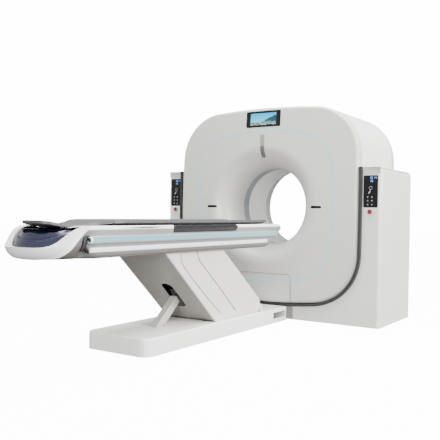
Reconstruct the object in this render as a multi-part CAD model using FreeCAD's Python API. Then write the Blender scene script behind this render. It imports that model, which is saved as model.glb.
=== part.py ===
import FreeCAD
import Part

import math
import os

from FreeCAD import Vector

# A whole-body CT scanner: a tilting ring-shaped gantry hung between two side
# pedestals on a floor base, and a patient table on a swinging link column.
#
# Frame (millimetres): the origin is on the floor, right under the crossing of
# the bore axis and the tilt axis. +Y runs from the table's foot end into the
# bore, +Z is up and +X is to the right when looking along +Y.

os.makedirs("parts", exist_ok=True)

# ----------------------------------------------------------------- gantry ----
ISO_Z = 1010.0              # height of the bore axis and of the tilt axis
BORE_RADIUS = 350.0
FLARE_WIDTH = 197.0         # the funnel opens by this much from the bore to the domed face
FLARE_LIP_RADIUS = BORE_RADIUS + FLARE_WIDTH
FLARE_DEPTH = 280.0
FLARE_ROUND = 0.55          # how softly the funnel turns into the face and the bore
WINDOW_WIDTH = 100.0        # the dark ring that the fan beam passes through
WINDOW_WALL = 2.5

POD_SIDE_BAND = 360.0       # tilting housing beside the funnel, above it and below it
POD_TOP_BAND = 339.0
POD_BOTTOM_BAND = 320.0
POD_HALF_WIDTH = FLARE_LIP_RADIUS + POD_SIDE_BAND
POD_TOP_Z = ISO_Z + FLARE_LIP_RADIUS + POD_TOP_BAND
POD_BOTTOM_Z = ISO_Z - FLARE_LIP_RADIUS - POD_BOTTOM_BAND
POD_SIDE_BOW = 24000.0      # radius of the long, nearly straight sides
POD_TOP_BOW = 7500.0        # radius of the crowned top
POD_BOTTOM_BOW = 5000.0
POD_TOP_CORNER = 430.0
POD_BOTTOM_CORNER = 440.0
POD_HALF_DEPTH = 512.0      # bore axis: centre of the pod to the dome's apex
DOME_RADIUS = 11000.0       # both end faces are shallow domes
EDGE_ROUND = 28.0           # soft edge between end faces and sides
POD_WALL = 6.0
COVER_RIM = 130.0           # depth of the front and rear covers' rims
SEAM = 2.5                  # gap between neighbouring covers

LIGHT_SIDE_INSET = 210.0    # the light ring on the front face, in from the housing's outline
LIGHT_TOP_INSET = 215.0
LIGHT_BOTTOM_INSET = 193.0
LIGHT_SIDE_BOW = 3000.0
LIGHT_TOP_BOW = 2450.0
LIGHT_CORNER = 340.0
LIGHT_WIDTH = 9.0
LIGHT_DEPTH = 5.0
LIGHT_FIT = 0.4

ACCESS_HALF_WIDTH = 300.0   # lower service panel in the front cover
ACCESS_HEIGHT = 260.0
ACCESS_CORNER = 30.0

LASER_WIDTH = 44.0          # window of the positioning light
LASER_ABOVE_LIP = 95.0
LASER_LENGTH = 205.0
LASER_TOP_Z = ISO_Z + FLARE_LIP_RADIUS + LASER_ABOVE_LIP
LASER_BOTTOM_Z = LASER_TOP_Z - LASER_LENGTH

DISPLAY_HALF_WIDTH = 175.0
DISPLAY_DROP = 28.0         # below the housing's top
DISPLAY_HEIGHT = 146.0
DISPLAY_LOW_Z = POD_TOP_Z - DISPLAY_DROP - DISPLAY_HEIGHT
DISPLAY_LEAN = 5.0          # degrees, top edge leaning back
DISPLAY_PROUD = 2.0
DISPLAY_CORNER = 12.0
DISPLAY_DEPTH = 14.0
DISPLAY_BORDER = 18.0
SCREEN_INSET = 1.0
SCREEN_RECESS = 4.0

PORT_INSIDE_LIP = 11.0      # two oblong intercom ports beside the bore
PORT_DROP = 9.0
PORT_X = FLARE_LIP_RADIUS - PORT_INSIDE_LIP
PORT_Z = ISO_Z - PORT_DROP
PORT_LENGTH = 104.0
PORT_HEIGHT = 22.0
PORT_SUNK = 1.5

YOKE_SET_IN = 27.0          # plates that carry the tilt shafts, inside the side covers
YOKE_OUTER_X = POD_HALF_WIDTH - YOKE_SET_IN
YOKE_PLATE = 24.0
YOKE_HALF = 120.0
YOKE_LAP = 30.0             # how far the yoke's arms reach into the carrier ring
TILT_FLANGE_RADIUS = 95.0
TILT_FLANGE = 15.0

# --------------------------------------------------------- pedestals, base ----
FRONT_TRIM_OFFSET = 28.5    # opening in the base cover, outside the pod outline
REAR_TRIM_OFFSET = 46.0
TOWER_GAP = 45.0            # towers that carry the tilt bearings, beside the pod
TOWER_WIDTH = 110.0
TOWER_INNER_X = POD_HALF_WIDTH + TOWER_GAP
TOWER_OUTER_X = TOWER_INNER_X + TOWER_WIDTH
PEDESTAL_SIDE_GAP = 29.0
PEDESTAL_INNER_X = POD_HALF_WIDTH + FRONT_TRIM_OFFSET
PEDESTAL_OUTER_X = TOWER_OUTER_X + PEDESTAL_SIDE_GAP
PEDESTAL_RISE = 332.0       # top of the pedestals above the tilt axis
PEDESTAL_TOP_Z = ISO_Z + PEDESTAL_RISE
PEDESTAL_FRONT_Y = -437.0
PEDESTAL_REAR_Y = 386.0
PEDESTAL_WALL = 6.0
PEDESTAL_EDGE = 24.0        # rounding of the outer upright edges
PEDESTAL_SHOULDER = 40.0    # rounding of the outer top edge
LOW_OPEN_HALF = 420.0       # the pedestals are open inwards down at the base plate
CAP_HEIGHT = 20.0
CAP_SHADOW_GAP = 4.0
CAP_SKIRT = 12.0            # collar under the cap that locates it in the pedestal
CAP_FIT = 0.5
FLOOR_GAP = 3.0             # covers end this far above the floor
FASCIA_HALF_WIDTH = 305.0   # centre piece of the lower front
FASCIA_WALL = 8.0
SEAL_INNER = 5.0            # lip of the rubber strip, outside the pod outline
SEAL_STEP = 14.0
SEAL_ROOT = 22.0
SEAL_LIP_DEPTH = 16.0
SEAL_BODY_SET_BACK = 6.0
SEAL_LIFT = 4.0
SEAL_PROUD = 37.0
SEAL_BODY_REAR_Y = PEDESTAL_FRONT_Y - SEAL_LIFT
SEAL_FRONT_Y = PEDESTAL_FRONT_Y - SEAL_PROUD

BASE_PLATE = 20.0
BASE_MARGIN = 13.0
BASE_FRONT_SET_IN = 37.0    # inside the pedestals' faces
BASE_REAR_SET_IN = 16.0
BASE_HALF_WIDTH = TOWER_OUTER_X + BASE_MARGIN
BASE_FRONT_Y = PEDESTAL_FRONT_Y + BASE_FRONT_SET_IN
BASE_REAR_Y = PEDESTAL_REAR_Y - BASE_REAR_SET_IN
RAIL_HEIGHT = 40.0
RAIL_WIDTH = 60.0
TOWER_HALF_DEPTH = 250.0
TOWER_RISE = 170.0
TOWER_TOP_Z = ISO_Z + TOWER_RISE
TOWER_PLATE = 12.0
TOWER_WINDOWS_Z = (220.0, 460.0, 700.0)
TOWER_WINDOW_HALF = 80.0
TOWER_WINDOW_CORNER = 20.0
ANCHOR_RADIUS = 9.0         # holes for M16 floor anchors
ANCHOR_INSET = 85.0
ANCHOR_X = BASE_HALF_WIDTH - ANCHOR_INSET
ANCHOR_Y = 295.0

TILT_SHAFT_RADIUS = 60.0
TILT_SHAFT_SET_BACK = 17.0
TILT_SHAFT_END_X = TOWER_OUTER_X - TILT_SHAFT_SET_BACK
TILT_SHAFT_FIT = 0.05       # running clearance in the bearing
TILT_BEARING_RADIUS = 105.0
TILT_BEARING_WIDTH = 60.0
BEARING_FOOT = 30.0
BEARING_FOOT_HALF = 150.0
TILT_SHAFT_HOLE = 78.0      # holes in the covers that the shaft goes through

PANEL_DROP = 72.0           # touch panels on the pedestals, below their top
PANEL_HEIGHT = 267.0
PANEL_HIGH_Z = PEDESTAL_TOP_Z - PANEL_DROP
PANEL_LOW_Z = PANEL_HIGH_Z - PANEL_HEIGHT
PANEL_INNER_MARGIN = 5.5
PANEL_OUTER_MARGIN = 25.0
PANEL_INNER_X = PEDESTAL_INNER_X + PANEL_INNER_MARGIN
PANEL_OUTER_X = PEDESTAL_OUTER_X - PANEL_OUTER_MARGIN
PANEL_THICK = 5.0
PANEL_PROUD = 2.0
PANEL_FIT = 0.3
PANEL_CORNER = 10.0

STOP_FROM_EDGE = 62.0       # emergency stop button, under the panel
STOP_BELOW_PANEL = 35.0
STOP_X = PANEL_INNER_X + STOP_FROM_EDGE
STOP_Z = PANEL_LOW_Z - STOP_BELOW_PANEL
STOP_COLLAR_RADIUS = 25.0
STOP_COLLAR_PROUD = 6.0
STOP_STEM_RADIUS = 8.0
STOP_STEM_FIT = 0.05
STOP_HEAD_RADIUS = 18.0
STOP_HEAD_THICK = 11.0
STOP_TRAVEL = 4.0
STOP_HEAD_GAP = 2.0         # left under the head when it is pressed
STOP_NOSE_RADIUS = 6.0
STOP_NOSE_LENGTH = 7.0
STOP_SHOULDER_GAP = 0.3
STOP_HEAD_ROUND = 3.0
STOP_BARREL_RADIUS = 14.0
STOP_BARREL_LENGTH = 32.0
STOP_CLIP_GAP = 0.5
STOP_CLIP_RADIUS = 12.0
STOP_CLIP = 3.0
STOP_GRIPS = 12
STOP_GRIP_RADIUS = 3.0
STOP_GRIP_OUT = 1.6

# ------------------------------------------------------------------ rotor ----
BEAM_Y = -168.0             # plane of the fan beam, in the middle of the window
STATOR_Y = 120.0            # front face of the fixed carrier ring
STATOR_THICK = 60.0
ROTOR_Y = 30.0              # front face of the rotating drum plate
ROTOR_THICK = 40.0
ROTOR_BORE_GAP = 35.0
ROTOR_WIDTH = 415.0
ROTOR_INNER = BORE_RADIUS + ROTOR_BORE_GAP
ROTOR_OUTER = ROTOR_INNER + ROTOR_WIDTH
STATOR_WIDTH = 300.0
STATOR_OUTER = ROTOR_OUTER
STATOR_INNER = STATOR_OUTER - STATOR_WIDTH
STATOR_HOLE = 40.0
BEARING_HOLES_AT = (STATOR_INNER + STATOR_OUTER) / 2
ROTOR_HOLE = 60.0
BEARING_GAP = 0.5
BEARING_WALL = 24.0

TUBE_RADIUS = 105.0
TUBE_LENGTH = 380.0
TUBE_SET_IN = 150.0
TUBE_OFFSET = ROTOR_OUTER - TUBE_SET_IN
TUBE_CHAMFER = 20.0
COLLIMATOR_HALF = 70.0
COLLIMATOR_FLARE = 40.0
COLLIMATOR_GAP = 25.0
COLLIMATOR_LOW = ROTOR_INNER + COLLIMATOR_GAP
BEAM_SLIT = 8.0
DETECTOR_GAP = 175.0
DETECTOR_DEPTH = 80.0
DETECTOR_INNER = ROTOR_INNER + DETECTOR_GAP
DETECTOR_OUTER = DETECTOR_INNER + DETECTOR_DEPTH
DETECTOR_WIDTH = 90.0
DETECTOR_HALF_ANGLE = 27.0
DETECTOR_CARRIER = 30.0     # its outer band, which reaches back to the drum plate
DETECTOR_SLOTS = 12
DETECTOR_SLOT = 8.0

CASE_GAP = 115.0            # generator and cooling unit, one on each side
CASE_WIDTH = 240.0
CASE_INNER_X = ROTOR_INNER + CASE_GAP
CASE_OUTER_X = CASE_INNER_X + CASE_WIDTH
CASE_HALF = 150.0
CASE_DEPTH = 260.0
CASE_EDGE = 12.0
CASE_LOUVRES = 7
LOUVRE_HEIGHT = 16.0
LOUVRE_DEPTH = 6.0

# ----------------------------------------------------------------- plinth ----
PLINTH_HALF_WIDTH = 272.0
PLINTH_FOOT_Y = -2418.0
BRIDGE_LENGTH = 63.0        # from the plinth to the gantry's front
PLINTH_HEAD_Y = PEDESTAL_FRONT_Y - BRIDGE_LENGTH
PLINTH_TOP_Z = 123.0
PLINTH_WALL = 5.0
PLINTH_CORNER = 70.0
PLINTH_EDGE = 10.0
PLINTH_PLATE = 10.0
PLINTH_PLATE_INSET = 12.0
BRIDGE_HALF_WIDTH = 215.0
BRIDGE_TOP_Z = 96.0
OUTLET_FOOT_Y = -735.0      # cable outlet in the plinth's side
OUTLET_HEAD_Y = -520.0
OUTLET_TOP_Z = 92.0
OUTLET_BOTTOM_Z = 42.0
POCKET_FOOT_Y = -1582.0     # opening in the plinth's top, under the column
POCKET_HALF_WIDTH = 233.0
CURB_THICK = 4.0            # low wall behind the column
CURB_TOP_Z = 178.0
CURB_GAP = 1.0
PLINTH_ANCHOR_X = 225.0
PLINTH_ANCHOR_FOOT_Y = -2300.0
PLINTH_ANCHOR_HEAD_Y = -640.0
OUTLET_CORNER = 10.0
LEG_SLOPE = 40.0

# ------------------------------------------------- lifting column and links ----
LINK_ANGLE = 41.0           # links above the horizontal, as photographed
PIVOT_LOW_Z = 182.0
ARM_PIVOT_Y = -1540.0       # lower pivot of the lift arm
MIDDLE_PIVOT_STEP = 198.0   # lower pivots of the other links, towards the gantry
REAR_PIVOT_STEP = 600.0
PIVOT_RADIUS = 20.0
PIVOT_FIT = 0.05
PIVOT_EYE_RADIUS = 38.0
COLUMN_HALF_WIDTH = 225.0
NEST_STEP = 6.0             # each inner cover is this much narrower
COVER_WALL = 4.0
HEAD_ROUND = 56.0           # covers are rounded about their upper pivots
FRONT_DEPTH = 63.0          # closed front wall, out from the lift arm's pivot line
FRONT_WALL_END = 20.0       # it ends this far below the upper pivot
REAR_DEPTH = 72.0           # closed rear wall, out from its pivot line at the lower pivot
REAR_TAPER = 0.068          # it comes closer to the line by this share of its length
REAR_WALL_LENGTH = 790.0
MIDDLE_REACH = 135.0        # how far the others reach back under their neighbours
REAR_REACH = 250.0
# Visible edges of the two outer covers, as photographed: (s, n) is up the link from
# its lower pivot and off its pivot line, towards the gantry.
FRONT_EDGE = ((-135.0, 36.0), (24.0, 23.0), (194.0, 10.0), (383.0, 3.0), (573.0, 3.0), (618.0, 12.0),
              (644.0, 35.0), (669.0, 45.0))
MIDDLE_EDGE = ((-142.0, 39.0), (43.0, 42.0), (233.0, 38.0), (469.0, 30.0), (553.0, 27.0), (614.0, 31.0),
               (649.0, 50.0), (690.0, 64.0))
FRONT_SKIRT_N = 20.0        # lower end of the front cover's cheeks
MIDDLE_SKIRT_Z = 50.0       # height of the middle cover's lower edge in the plinth
MIDDLE_HEAD_N = 110.0
MIDDLE_HEAD_RISE = 14.0
MIDDLE_PIN_SET_BACK = 124.0     # the middle cover's pins, off its line, under the front cover
MIDDLE_PIN_RADIUS = 6.0
MIDDLE_EYE_RADIUS = 11.0
BRACKET_INNER_X = 180.0     # pivot brackets inside the column
BRACKET_OUTER_X = 200.0
BRACKET_SET_BACK = 16.0     # legs stand clear of the swinging covers' edges
BRACKET_LEG = 66.0
SIDE_BRACKET_INNER_X = 203.0
SIDE_BRACKET_THICK = 5.0
ARM_INNER_X = 150.0
ARM_OUTER_X = 175.0
ARM_HALF_HEIGHT = 35.0
ARM_HOLE_RADIUS = 18.0
ARM_LUG_WALL = 20.0
TIE_LOW_S = 45.0            # cross ties that carry the front cover
TIE_HIGH_S = 620.0
TIE_WIDTH = 60.0
TIE_DEPTH = 30.0
REAR_SKIRT_LOW_S = -46.0    # cut ends of the rear cover's cheeks, in the plinth and the table
REAR_SKIRT_LOW_N = -53.0
REAR_SKIRT_MID_S = 40.0
REAR_SKIRT_TIP_S = 188.0
REAR_HEAD_LOW_S = 20.0
REAR_HEAD_MID_S = 75.0
REAR_HEAD_TIP_S = 165.0
SLOT_LOW_S = 146.0          # slot for the actuator, measured up the front cover
SLOT_HIGH_S = 438.0
SLOT_HALF_WIDTH = 48.0
SLOT_MID_X = 15.0

ACTUATOR_FOOT_Y = -1985.0
ACTUATOR_FOOT_Z = 112.0
ACTUATOR_HEAD_S = 226.0     # cross tube on the lift arm, up the arm and off its line
ACTUATOR_HEAD_N = 60.0
ACTUATOR_SIDE = 62.0
ACTUATOR_TAIL = 40.0
ACTUATOR_EDGE = 8.0
ACTUATOR_TUBE_LENGTH = 285.0
ACTUATOR_ROD_RADIUS = 18.0
ACTUATOR_ROD_FIT = 0.5
ACTUATOR_ROD_START = 150.0
ACTUATOR_PIN_RADIUS = 14.0
ACTUATOR_EYE_WALL = 8.0
ACTUATOR_EYE_CLEARANCE = 6.0    # the linkage is opened at this pivot
ACTUATOR_EYE_WIDTH = 50.0
CROSS_TUBE_RADIUS = 24.0
FOOT_EAR_INNER_X = 32.0
FOOT_EAR_OUTER_X = 46.0
FOOT_EAR_RADIUS = 28.0
FOOT_SLOT_FOOT_Y = -2034.0  # slot in the plinth's top that the actuator stands in
FOOT_SLOT_HEAD_Y = -1912.0
FOOT_SLOT_SIDE_GAP = 1.0

# ------------------------------------------------------------------ table ----
TABLE_TOP_Z = 850.0
TABLE_DEPTH = 189.0
TABLE_BOTTOM_Z = TABLE_TOP_Z - TABLE_DEPTH
TABLE_HALF_WIDTH = 268.0
TABLE_WALL = 6.0
TABLE_BELLY_ROUND = 25.0
TABLE_TOP_ROUND = 8.0
FRAME_RAIL_WIDTH = 22.0
FRAME_FOOT_Y = -2880.0
FRAME_HEAD_Y = -900.0
FRAME_RAISE = 39.0          # long rails above the underside
FRAME_RAIL_HEIGHT = 60.0
FRAME_LOW_Z = TABLE_BOTTOM_Z + FRAME_RAISE
FRAME_HIGH_Z = FRAME_LOW_Z + FRAME_RAIL_HEIGHT
FRAME_CROSS_Y = (-2850.0, -2560.0, -1120.0, -930.0)
FRAME_CROSS = 50.0
FRAME_BRIDGE = 12.0
FRAME_BRIDGE_DROP = 27.0
FRAME_BRIDGE_TOP_Z = TABLE_TOP_Z - FRAME_BRIDGE_DROP
TABLE_TIP_Y = -612.0        # pointed end towards the bore
TABLE_TIP_DROP = 33.0
TABLE_TIP_Z = TABLE_TOP_Z - TABLE_TIP_DROP
TIP_CHIN_BACK = 105.0       # the tip's underside, back from its point and up from the bottom
TIP_CHIN_RISE = 69.0
TIP_BELLY_BACK = 249.0
TIP_BELLY_RISE = 11.0
TIP_LEAN = 33.0
TIP_WALL_SHARE = 1.4        # the sloping walls of the tip take this much more along the table
CLEAR = 50.0                # how far a cutting profile stands past what it cuts
NOSE_TIP_Y = -3230.0
NOSE_BELLY_DROP = 6.0
NOSE_BOTTOM_Z = TABLE_BOTTOM_Z - NOSE_BELLY_DROP
# Joint between the table's body and the nose, and the nose's rim, both smooth curves:
# along from the nose's tip and down from the table's top, as photographed.
NOSE_JOINT = ((325.0, 0.0), (305.0, 1.5), (247.0, 20.0), (210.0, 44.0), (163.0, 93.0), (121.0, 148.0),
              (85.0, 186.0), (58.0, 212.0))
NOSE_RIM = ((345.0, 0.0), (315.0, 1.0), (230.0, 14.0), (185.0, 38.0), (145.0, 72.0), (110.0, 102.0),
            (75.0, 119.0), (40.0, 123.0), (-10.0, 118.0))
NOSE_PROUD = 7.0
NOSE_TIP_FLAT = 13.0        # half of the straight run across the tip, between the two corners
NOSE_ROUND = 90.0
NOSE_WALL = 42.0            # thickness of the lip, which is hollow
NOSE_SKIN = 6.0
INSERT_GAP = 1.5
INSERT_DROP = 9.0           # below the rim of the nose
INSERT_WALL = 4.0
OPENING_FOOT_GAP = 51.6     # opening in the underside, past the column's outer pivots
OPENING_HEAD_GAP = 408.4
OPENING_SIDE_GAP = 6.0

RAIL_FOOT_Y = -2940.0
RAIL_HEAD_Y = -712.0
LED_RAIL_DROP = 79.0
LED_RAIL_Z = TABLE_TOP_Z - LED_RAIL_DROP
LED_RAIL_HALF_HEIGHT = 24.0
LED_RAIL_PROUD = 20.0
LED_RAIL_ROUND = 11.0
RAIL_CAP = 12.0
STRIP_SUNK = 0.5
LED_STRIP_HEIGHT = 13.0
LED_STRIP_DEPTH = 4.0
LOWER_RAIL_RAISE = 36.0
LOWER_RAIL_HEIGHT = 31.0
LOWER_RAIL_LOW_Z = TABLE_BOTTOM_Z + LOWER_RAIL_RAISE
LOWER_RAIL_HIGH_Z = LOWER_RAIL_LOW_Z + LOWER_RAIL_HEIGHT
LOWER_RAIL_PROUD = 14.0
LOWER_RAIL_ROUND = 9.0
LOWER_RAIL_HEAD_Y = -880.0
SIDE_RAIL_FOOT_Y = -2147.0  # accessory rail on the table's sides
SIDE_RAIL_HEAD_Y = -1340.0
SIDE_RAIL_DROP = 14.0
SIDE_RAIL_HEIGHT = 33.0
SIDE_RAIL_HIGH_Z = TABLE_TOP_Z - SIDE_RAIL_DROP
SIDE_RAIL_LOW_Z = SIDE_RAIL_HIGH_Z - SIDE_RAIL_HEIGHT
SIDE_RAIL_PROUD = 9.0
SIDE_RAIL_POINT = 40.0

CRADLE_FOOT_Y = -3000.0
CRADLE_HEAD_Y = -775.0
CRADLE_HALF_WIDTH = 210.0
CRADLE_RISE = 35.0          # its edges above the table's top
CRADLE_TOP_Z = TABLE_TOP_Z + CRADLE_RISE
CRADLE_DISH = 23.0          # depth of the hollow along its middle
CRADLE_DECK = 14.0
CRADLE_BEAM = 9.0
CRADLE_CLEARANCE = 4.0
CRADLE_END_ROUND = 60.0
CRADLE_FOOT_ROUND = 20.0
CRADLE_BEAM_INSET = 12.0

PIVOT_DROP = 100.0          # upper pivots of the links, below the table's top
PIVOT_HIGH_Z = TABLE_TOP_Z - PIVOT_DROP

# ================================================================ helpers ====


def vec(x, y, z):
    return Vector(x, y, z)


def save(shape, node):
    shape.exportStep("parts/" + node + ".step")
    print("%-24s solids %2d  volume %9.0f cm3" % (node, len(shape.Solids), shape.Volume / 1000.0))


def block(low_x, high_x, low_y, high_y, low_z, high_z):
    return Part.makeBox(high_x - low_x, high_y - low_y, high_z - low_z, vec(low_x, low_y, low_z))


def rod_x(radius, low_x, high_x, y, z):
    return Part.makeCylinder(radius, high_x - low_x, vec(low_x, y, z), vec(1, 0, 0))


def rod_y(radius, low_y, high_y, x, z):
    return Part.makeCylinder(radius, high_y - low_y, vec(x, low_y, z), vec(0, 1, 0))


def rod_z(radius, low_z, high_z, x, y):
    return Part.makeCylinder(radius, high_z - low_z, vec(x, y, low_z), vec(0, 0, 1))


def ring_y(inner, outer, low_y, high_y):
    """A plain ring about the bore axis."""
    return rod_y(outer, low_y, high_y, 0, ISO_Z).cut(rod_y(inner, low_y - 1, high_y + 1, 0, ISO_Z))


def side_profile(points, low_x, high_x):
    """A prism across the machine from an outline of (y, z) points."""
    loop = [vec(low_x, y, z) for y, z in points]
    wire = Part.makePolygon(loop + loop[:1])
    return Part.Face(wire).extrude(vec(high_x - low_x, 0, 0))


def front_profile(points, low_y, high_y):
    """A prism along the machine from an outline of (x, z) points."""
    loop = [vec(x, low_y, z) for x, z in points]
    wire = Part.makePolygon(loop + loop[:1])
    return Part.Face(wire).extrude(vec(0, high_y - low_y, 0))


def curved_profile(curve, corners, low_x, high_x):
    """A prism across the machine; one side of its outline is a smooth curve."""
    spline = Part.BSplineCurve()
    spline.interpolate([vec(low_x, y, z) for y, z in curve])
    rest = [curve[-1]] + corners + [curve[0]]
    sides = Part.makePolygon([vec(low_x, y, z) for y, z in rest])
    outline = Part.Wire([spline.toShape()] + sides.Edges)
    return Part.Face(outline).extrude(vec(high_x - low_x, 0, 0))


def mirrored(shape):
    return shape.mirror(vec(0, 0, 0), vec(1, 0, 0))


def edges_along(shape, axis, test):
    """Straight edges along an axis whose middle passes a test."""
    found = []
    for edge in shape.Edges:
        if len(edge.Vertexes) != 2:
            continue
        run = edge.Vertexes[1].Point.sub(edge.Vertexes[0].Point)
        if run.Length < 1e-6 or abs(abs(run.dot(axis)) / run.Length - 1) > 1e-6:
            continue
        if test(edge.CenterOfMass):
            found.append(edge)
    return found


def circle_crossing(c1, r1, c2, r2, pick):
    """Crossing of two circles in a plane, the one that pick scores highest."""
    dx = c2[0] - c1[0]
    dz = c2[1] - c1[1]
    gap = math.hypot(dx, dz)
    along = (r1 * r1 - r2 * r2 + gap * gap) / (2 * gap)
    across = math.sqrt(max(r1 * r1 - along * along, 0.0))
    mid = (c1[0] + along * dx / gap, c1[1] + along * dz / gap)
    one = (mid[0] - across * dz / gap, mid[1] + across * dx / gap)
    two = (mid[0] + across * dz / gap, mid[1] - across * dx / gap)
    return max((one, two), key=pick)


def beyond(centre, through, radius):
    """Point at a radius from a centre, in the direction of another point."""
    dx = through[0] - centre[0]
    dz = through[1] - centre[1]
    size = math.hypot(dx, dz)
    return (centre[0] + radius * dx / size, centre[1] + radius * dz / size)


def bowed_outline(half_width, low_z, high_z, side_bow, bows, corners, grow, y):
    """A rounded square face of eight tangent arcs, symmetric about X = 0.

    bows and corners hold the (bottom, top) radii. grow moves the whole
    outline outwards by an even distance."""
    mid_z = (low_z + high_z) / 2
    side_centre = (half_width - side_bow, mid_z)
    ends = []
    for bow, corner, end_z, way in ((bows[0], corners[0], low_z, -1), (bows[1], corners[1], high_z, 1)):
        end_centre = (0.0, end_z - way * bow)
        centre = circle_crossing(side_centre, side_bow - corner, end_centre, bow - corner,
                                 lambda p: p[0] + way * p[1])
        on_side = beyond(side_centre, centre, side_bow + grow)
        on_end = beyond(end_centre, centre, bow + grow)
        on_corner = beyond(centre, (centre[0] + 1, centre[1] + way), corner + grow)
        ends.append((on_side, on_corner, on_end, (0.0, end_z + way * grow)))
    low, high = ends

    def at(p, flip=1):
        return vec(flip * p[0], y, p[1])

    side_mid = (half_width + grow, mid_z)
    arcs = [Part.Arc(at(low[0]), at(side_mid), at(high[0])),
            Part.Arc(at(high[0]), at(high[1]), at(high[2])),
            Part.Arc(at(high[2]), at(high[3]), at(high[2], -1)),
            Part.Arc(at(high[2], -1), at(high[1], -1), at(high[0], -1)),
            Part.Arc(at(high[0], -1), at(side_mid, -1), at(low[0], -1)),
            Part.Arc(at(low[0], -1), at(low[1], -1), at(low[2], -1)),
            Part.Arc(at(low[2], -1), at(low[3]), at(low[2])),
            Part.Arc(at(low[2]), at(low[1]), at(low[0]))]
    return Part.Face(Part.Wire([arc.toShape() for arc in arcs]))


def pod_prism(grow, low_y, high_y):
    face = bowed_outline(POD_HALF_WIDTH, POD_BOTTOM_Z, POD_TOP_Z, POD_SIDE_BOW,
                         (POD_BOTTOM_BOW, POD_TOP_BOW), (POD_BOTTOM_CORNER, POD_TOP_CORNER), grow, low_y)
    return face.extrude(vec(0, high_y - low_y, 0))


def light_prism(grow, low_y, high_y):
    face = bowed_outline(POD_HALF_WIDTH - LIGHT_SIDE_INSET, POD_BOTTOM_Z + LIGHT_BOTTOM_INSET,
                         POD_TOP_Z - LIGHT_TOP_INSET, LIGHT_SIDE_BOW,
                         (LIGHT_TOP_BOW, LIGHT_TOP_BOW), (LIGHT_CORNER, LIGHT_CORNER), grow, low_y)
    return face.extrude(vec(0, high_y - low_y, 0))


def dome_y(radius, inset=0.0):
    """Front face of the dome at a distance from the bore axis."""
    sphere = DOME_RADIUS - inset
    return -POD_HALF_DEPTH + DOME_RADIUS - math.sqrt(sphere * sphere - radius * radius)


THROAT_Y = dome_y(FLARE_LIP_RADIUS) + FLARE_DEPTH


def turned_form(inset):
    """Domed end faces, funnels and bore, turned as one ring about the bore."""
    bore = BORE_RADIUS + inset
    lip = FLARE_LIP_RADIUS + inset
    lip_y = dome_y(lip, inset)
    outside = POD_HALF_WIDTH + POD_TOP_Z - ISO_Z
    middle = (lip + outside) / 2
    lean = lip / DOME_RADIUS
    handle_r = FLARE_ROUND * (FLARE_LIP_RADIUS - BORE_RADIUS)
    handle_y = FLARE_ROUND * FLARE_DEPTH
    front = Part.BezierCurve()
    front.setPoles([vec(lip, lip_y, 0), vec(lip - handle_r, lip_y - handle_r * lean, 0),
                    vec(bore, THROAT_Y - handle_y, 0), vec(bore, THROAT_Y, 0)])
    rear = Part.BezierCurve()
    rear.setPoles([vec(bore, -THROAT_Y, 0), vec(bore, handle_y - THROAT_Y, 0),
                   vec(lip - handle_r, handle_r * lean - lip_y, 0), vec(lip, -lip_y, 0)])

    def on_dome(radius, way):
        return vec(radius, way * dome_y(radius, inset), 0)

    edges = [Part.Arc(on_dome(outside, 1), on_dome(middle, 1), on_dome(lip, 1)).toShape(),
             front.toShape(),
             Part.makeLine(vec(bore, THROAT_Y, 0), vec(bore, -THROAT_Y, 0)),
             rear.toShape(),
             Part.Arc(on_dome(lip, -1), on_dome(middle, -1), on_dome(outside, -1)).toShape(),
             Part.makeLine(on_dome(outside, -1), on_dome(outside, 1))]
    form = Part.Face(Part.Wire(edges)).revolve(vec(0, 0, 0), vec(0, 1, 0), 360)
    form.rotate(vec(0, 0, 0), vec(0, 1, 0), 45)
    form.translate(vec(0, 0, ISO_Z))
    return form


def pod_form(inset):
    """The pod's outer form, with its bore, moved inwards by inset on every face."""
    reach = POD_HALF_DEPTH + 50.0
    body = pod_prism(-inset, -reach, reach).common(turned_form(inset))
    rims = []
    for edge in body.Edges:
        middle = edge.CenterOfMass
        off_axis = math.hypot(middle.x, middle.z - ISO_Z)
        if abs(middle.y) > POD_HALF_DEPTH / 2 and off_axis > FLARE_LIP_RADIUS + 50.0:
            rims.append(edge)
    return body.makeFillet(EDGE_ROUND - inset / 2, rims)


# ==================================================== the tilting pod's skin ====

REACH = 2000.0
pod_outer = pod_form(0.0)
pod_skin = pod_outer.cut(pod_form(POD_WALL))
rim_y = POD_HALF_DEPTH - COVER_RIM
far = POD_HALF_DEPTH + 100.0        # past either end face

front_zone = block(-REACH, REACH, -far, -rim_y, 0, REACH)
front_zone = front_zone.fuse(rod_y(FLARE_LIP_RADIUS, -far, THROAT_Y, 0, ISO_Z))
rear_zone = block(-REACH, REACH, rim_y, far, 0, REACH)
rear_zone = rear_zone.fuse(rod_y(FLARE_LIP_RADIUS, -THROAT_Y, far, 0, ISO_Z))
wrap_zone = block(-REACH, REACH, SEAM - rim_y, rim_y - SEAM, 0, REACH)
wrap_zone = wrap_zone.cut(rod_y(FLARE_LIP_RADIUS, -far, far, 0, ISO_Z))

front_cover = pod_skin.common(front_zone)
rear_cover = pod_skin.common(rear_zone)
side_wrap = pod_skin.common(wrap_zone)
side_wrap = side_wrap.cut(rod_x(TILT_SHAFT_HOLE, -REACH, REACH, 0, ISO_Z))

# The service panel is cut out of the front cover's lower middle.


def access_prism(grow):
    half = ACCESS_HALF_WIDTH + grow
    top = POD_BOTTOM_Z + ACCESS_HEIGHT + grow
    prism = block(-half, half, -far, 0, 0, top)
    corners = edges_along(prism, vec(0, 1, 0), lambda p: p.z > top - 1)
    return prism.makeFillet(ACCESS_CORNER + grow, corners)


access_panel = front_cover.common(access_prism(0.0))
front_cover = front_cover.cut(access_prism(SEAM))

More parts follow.
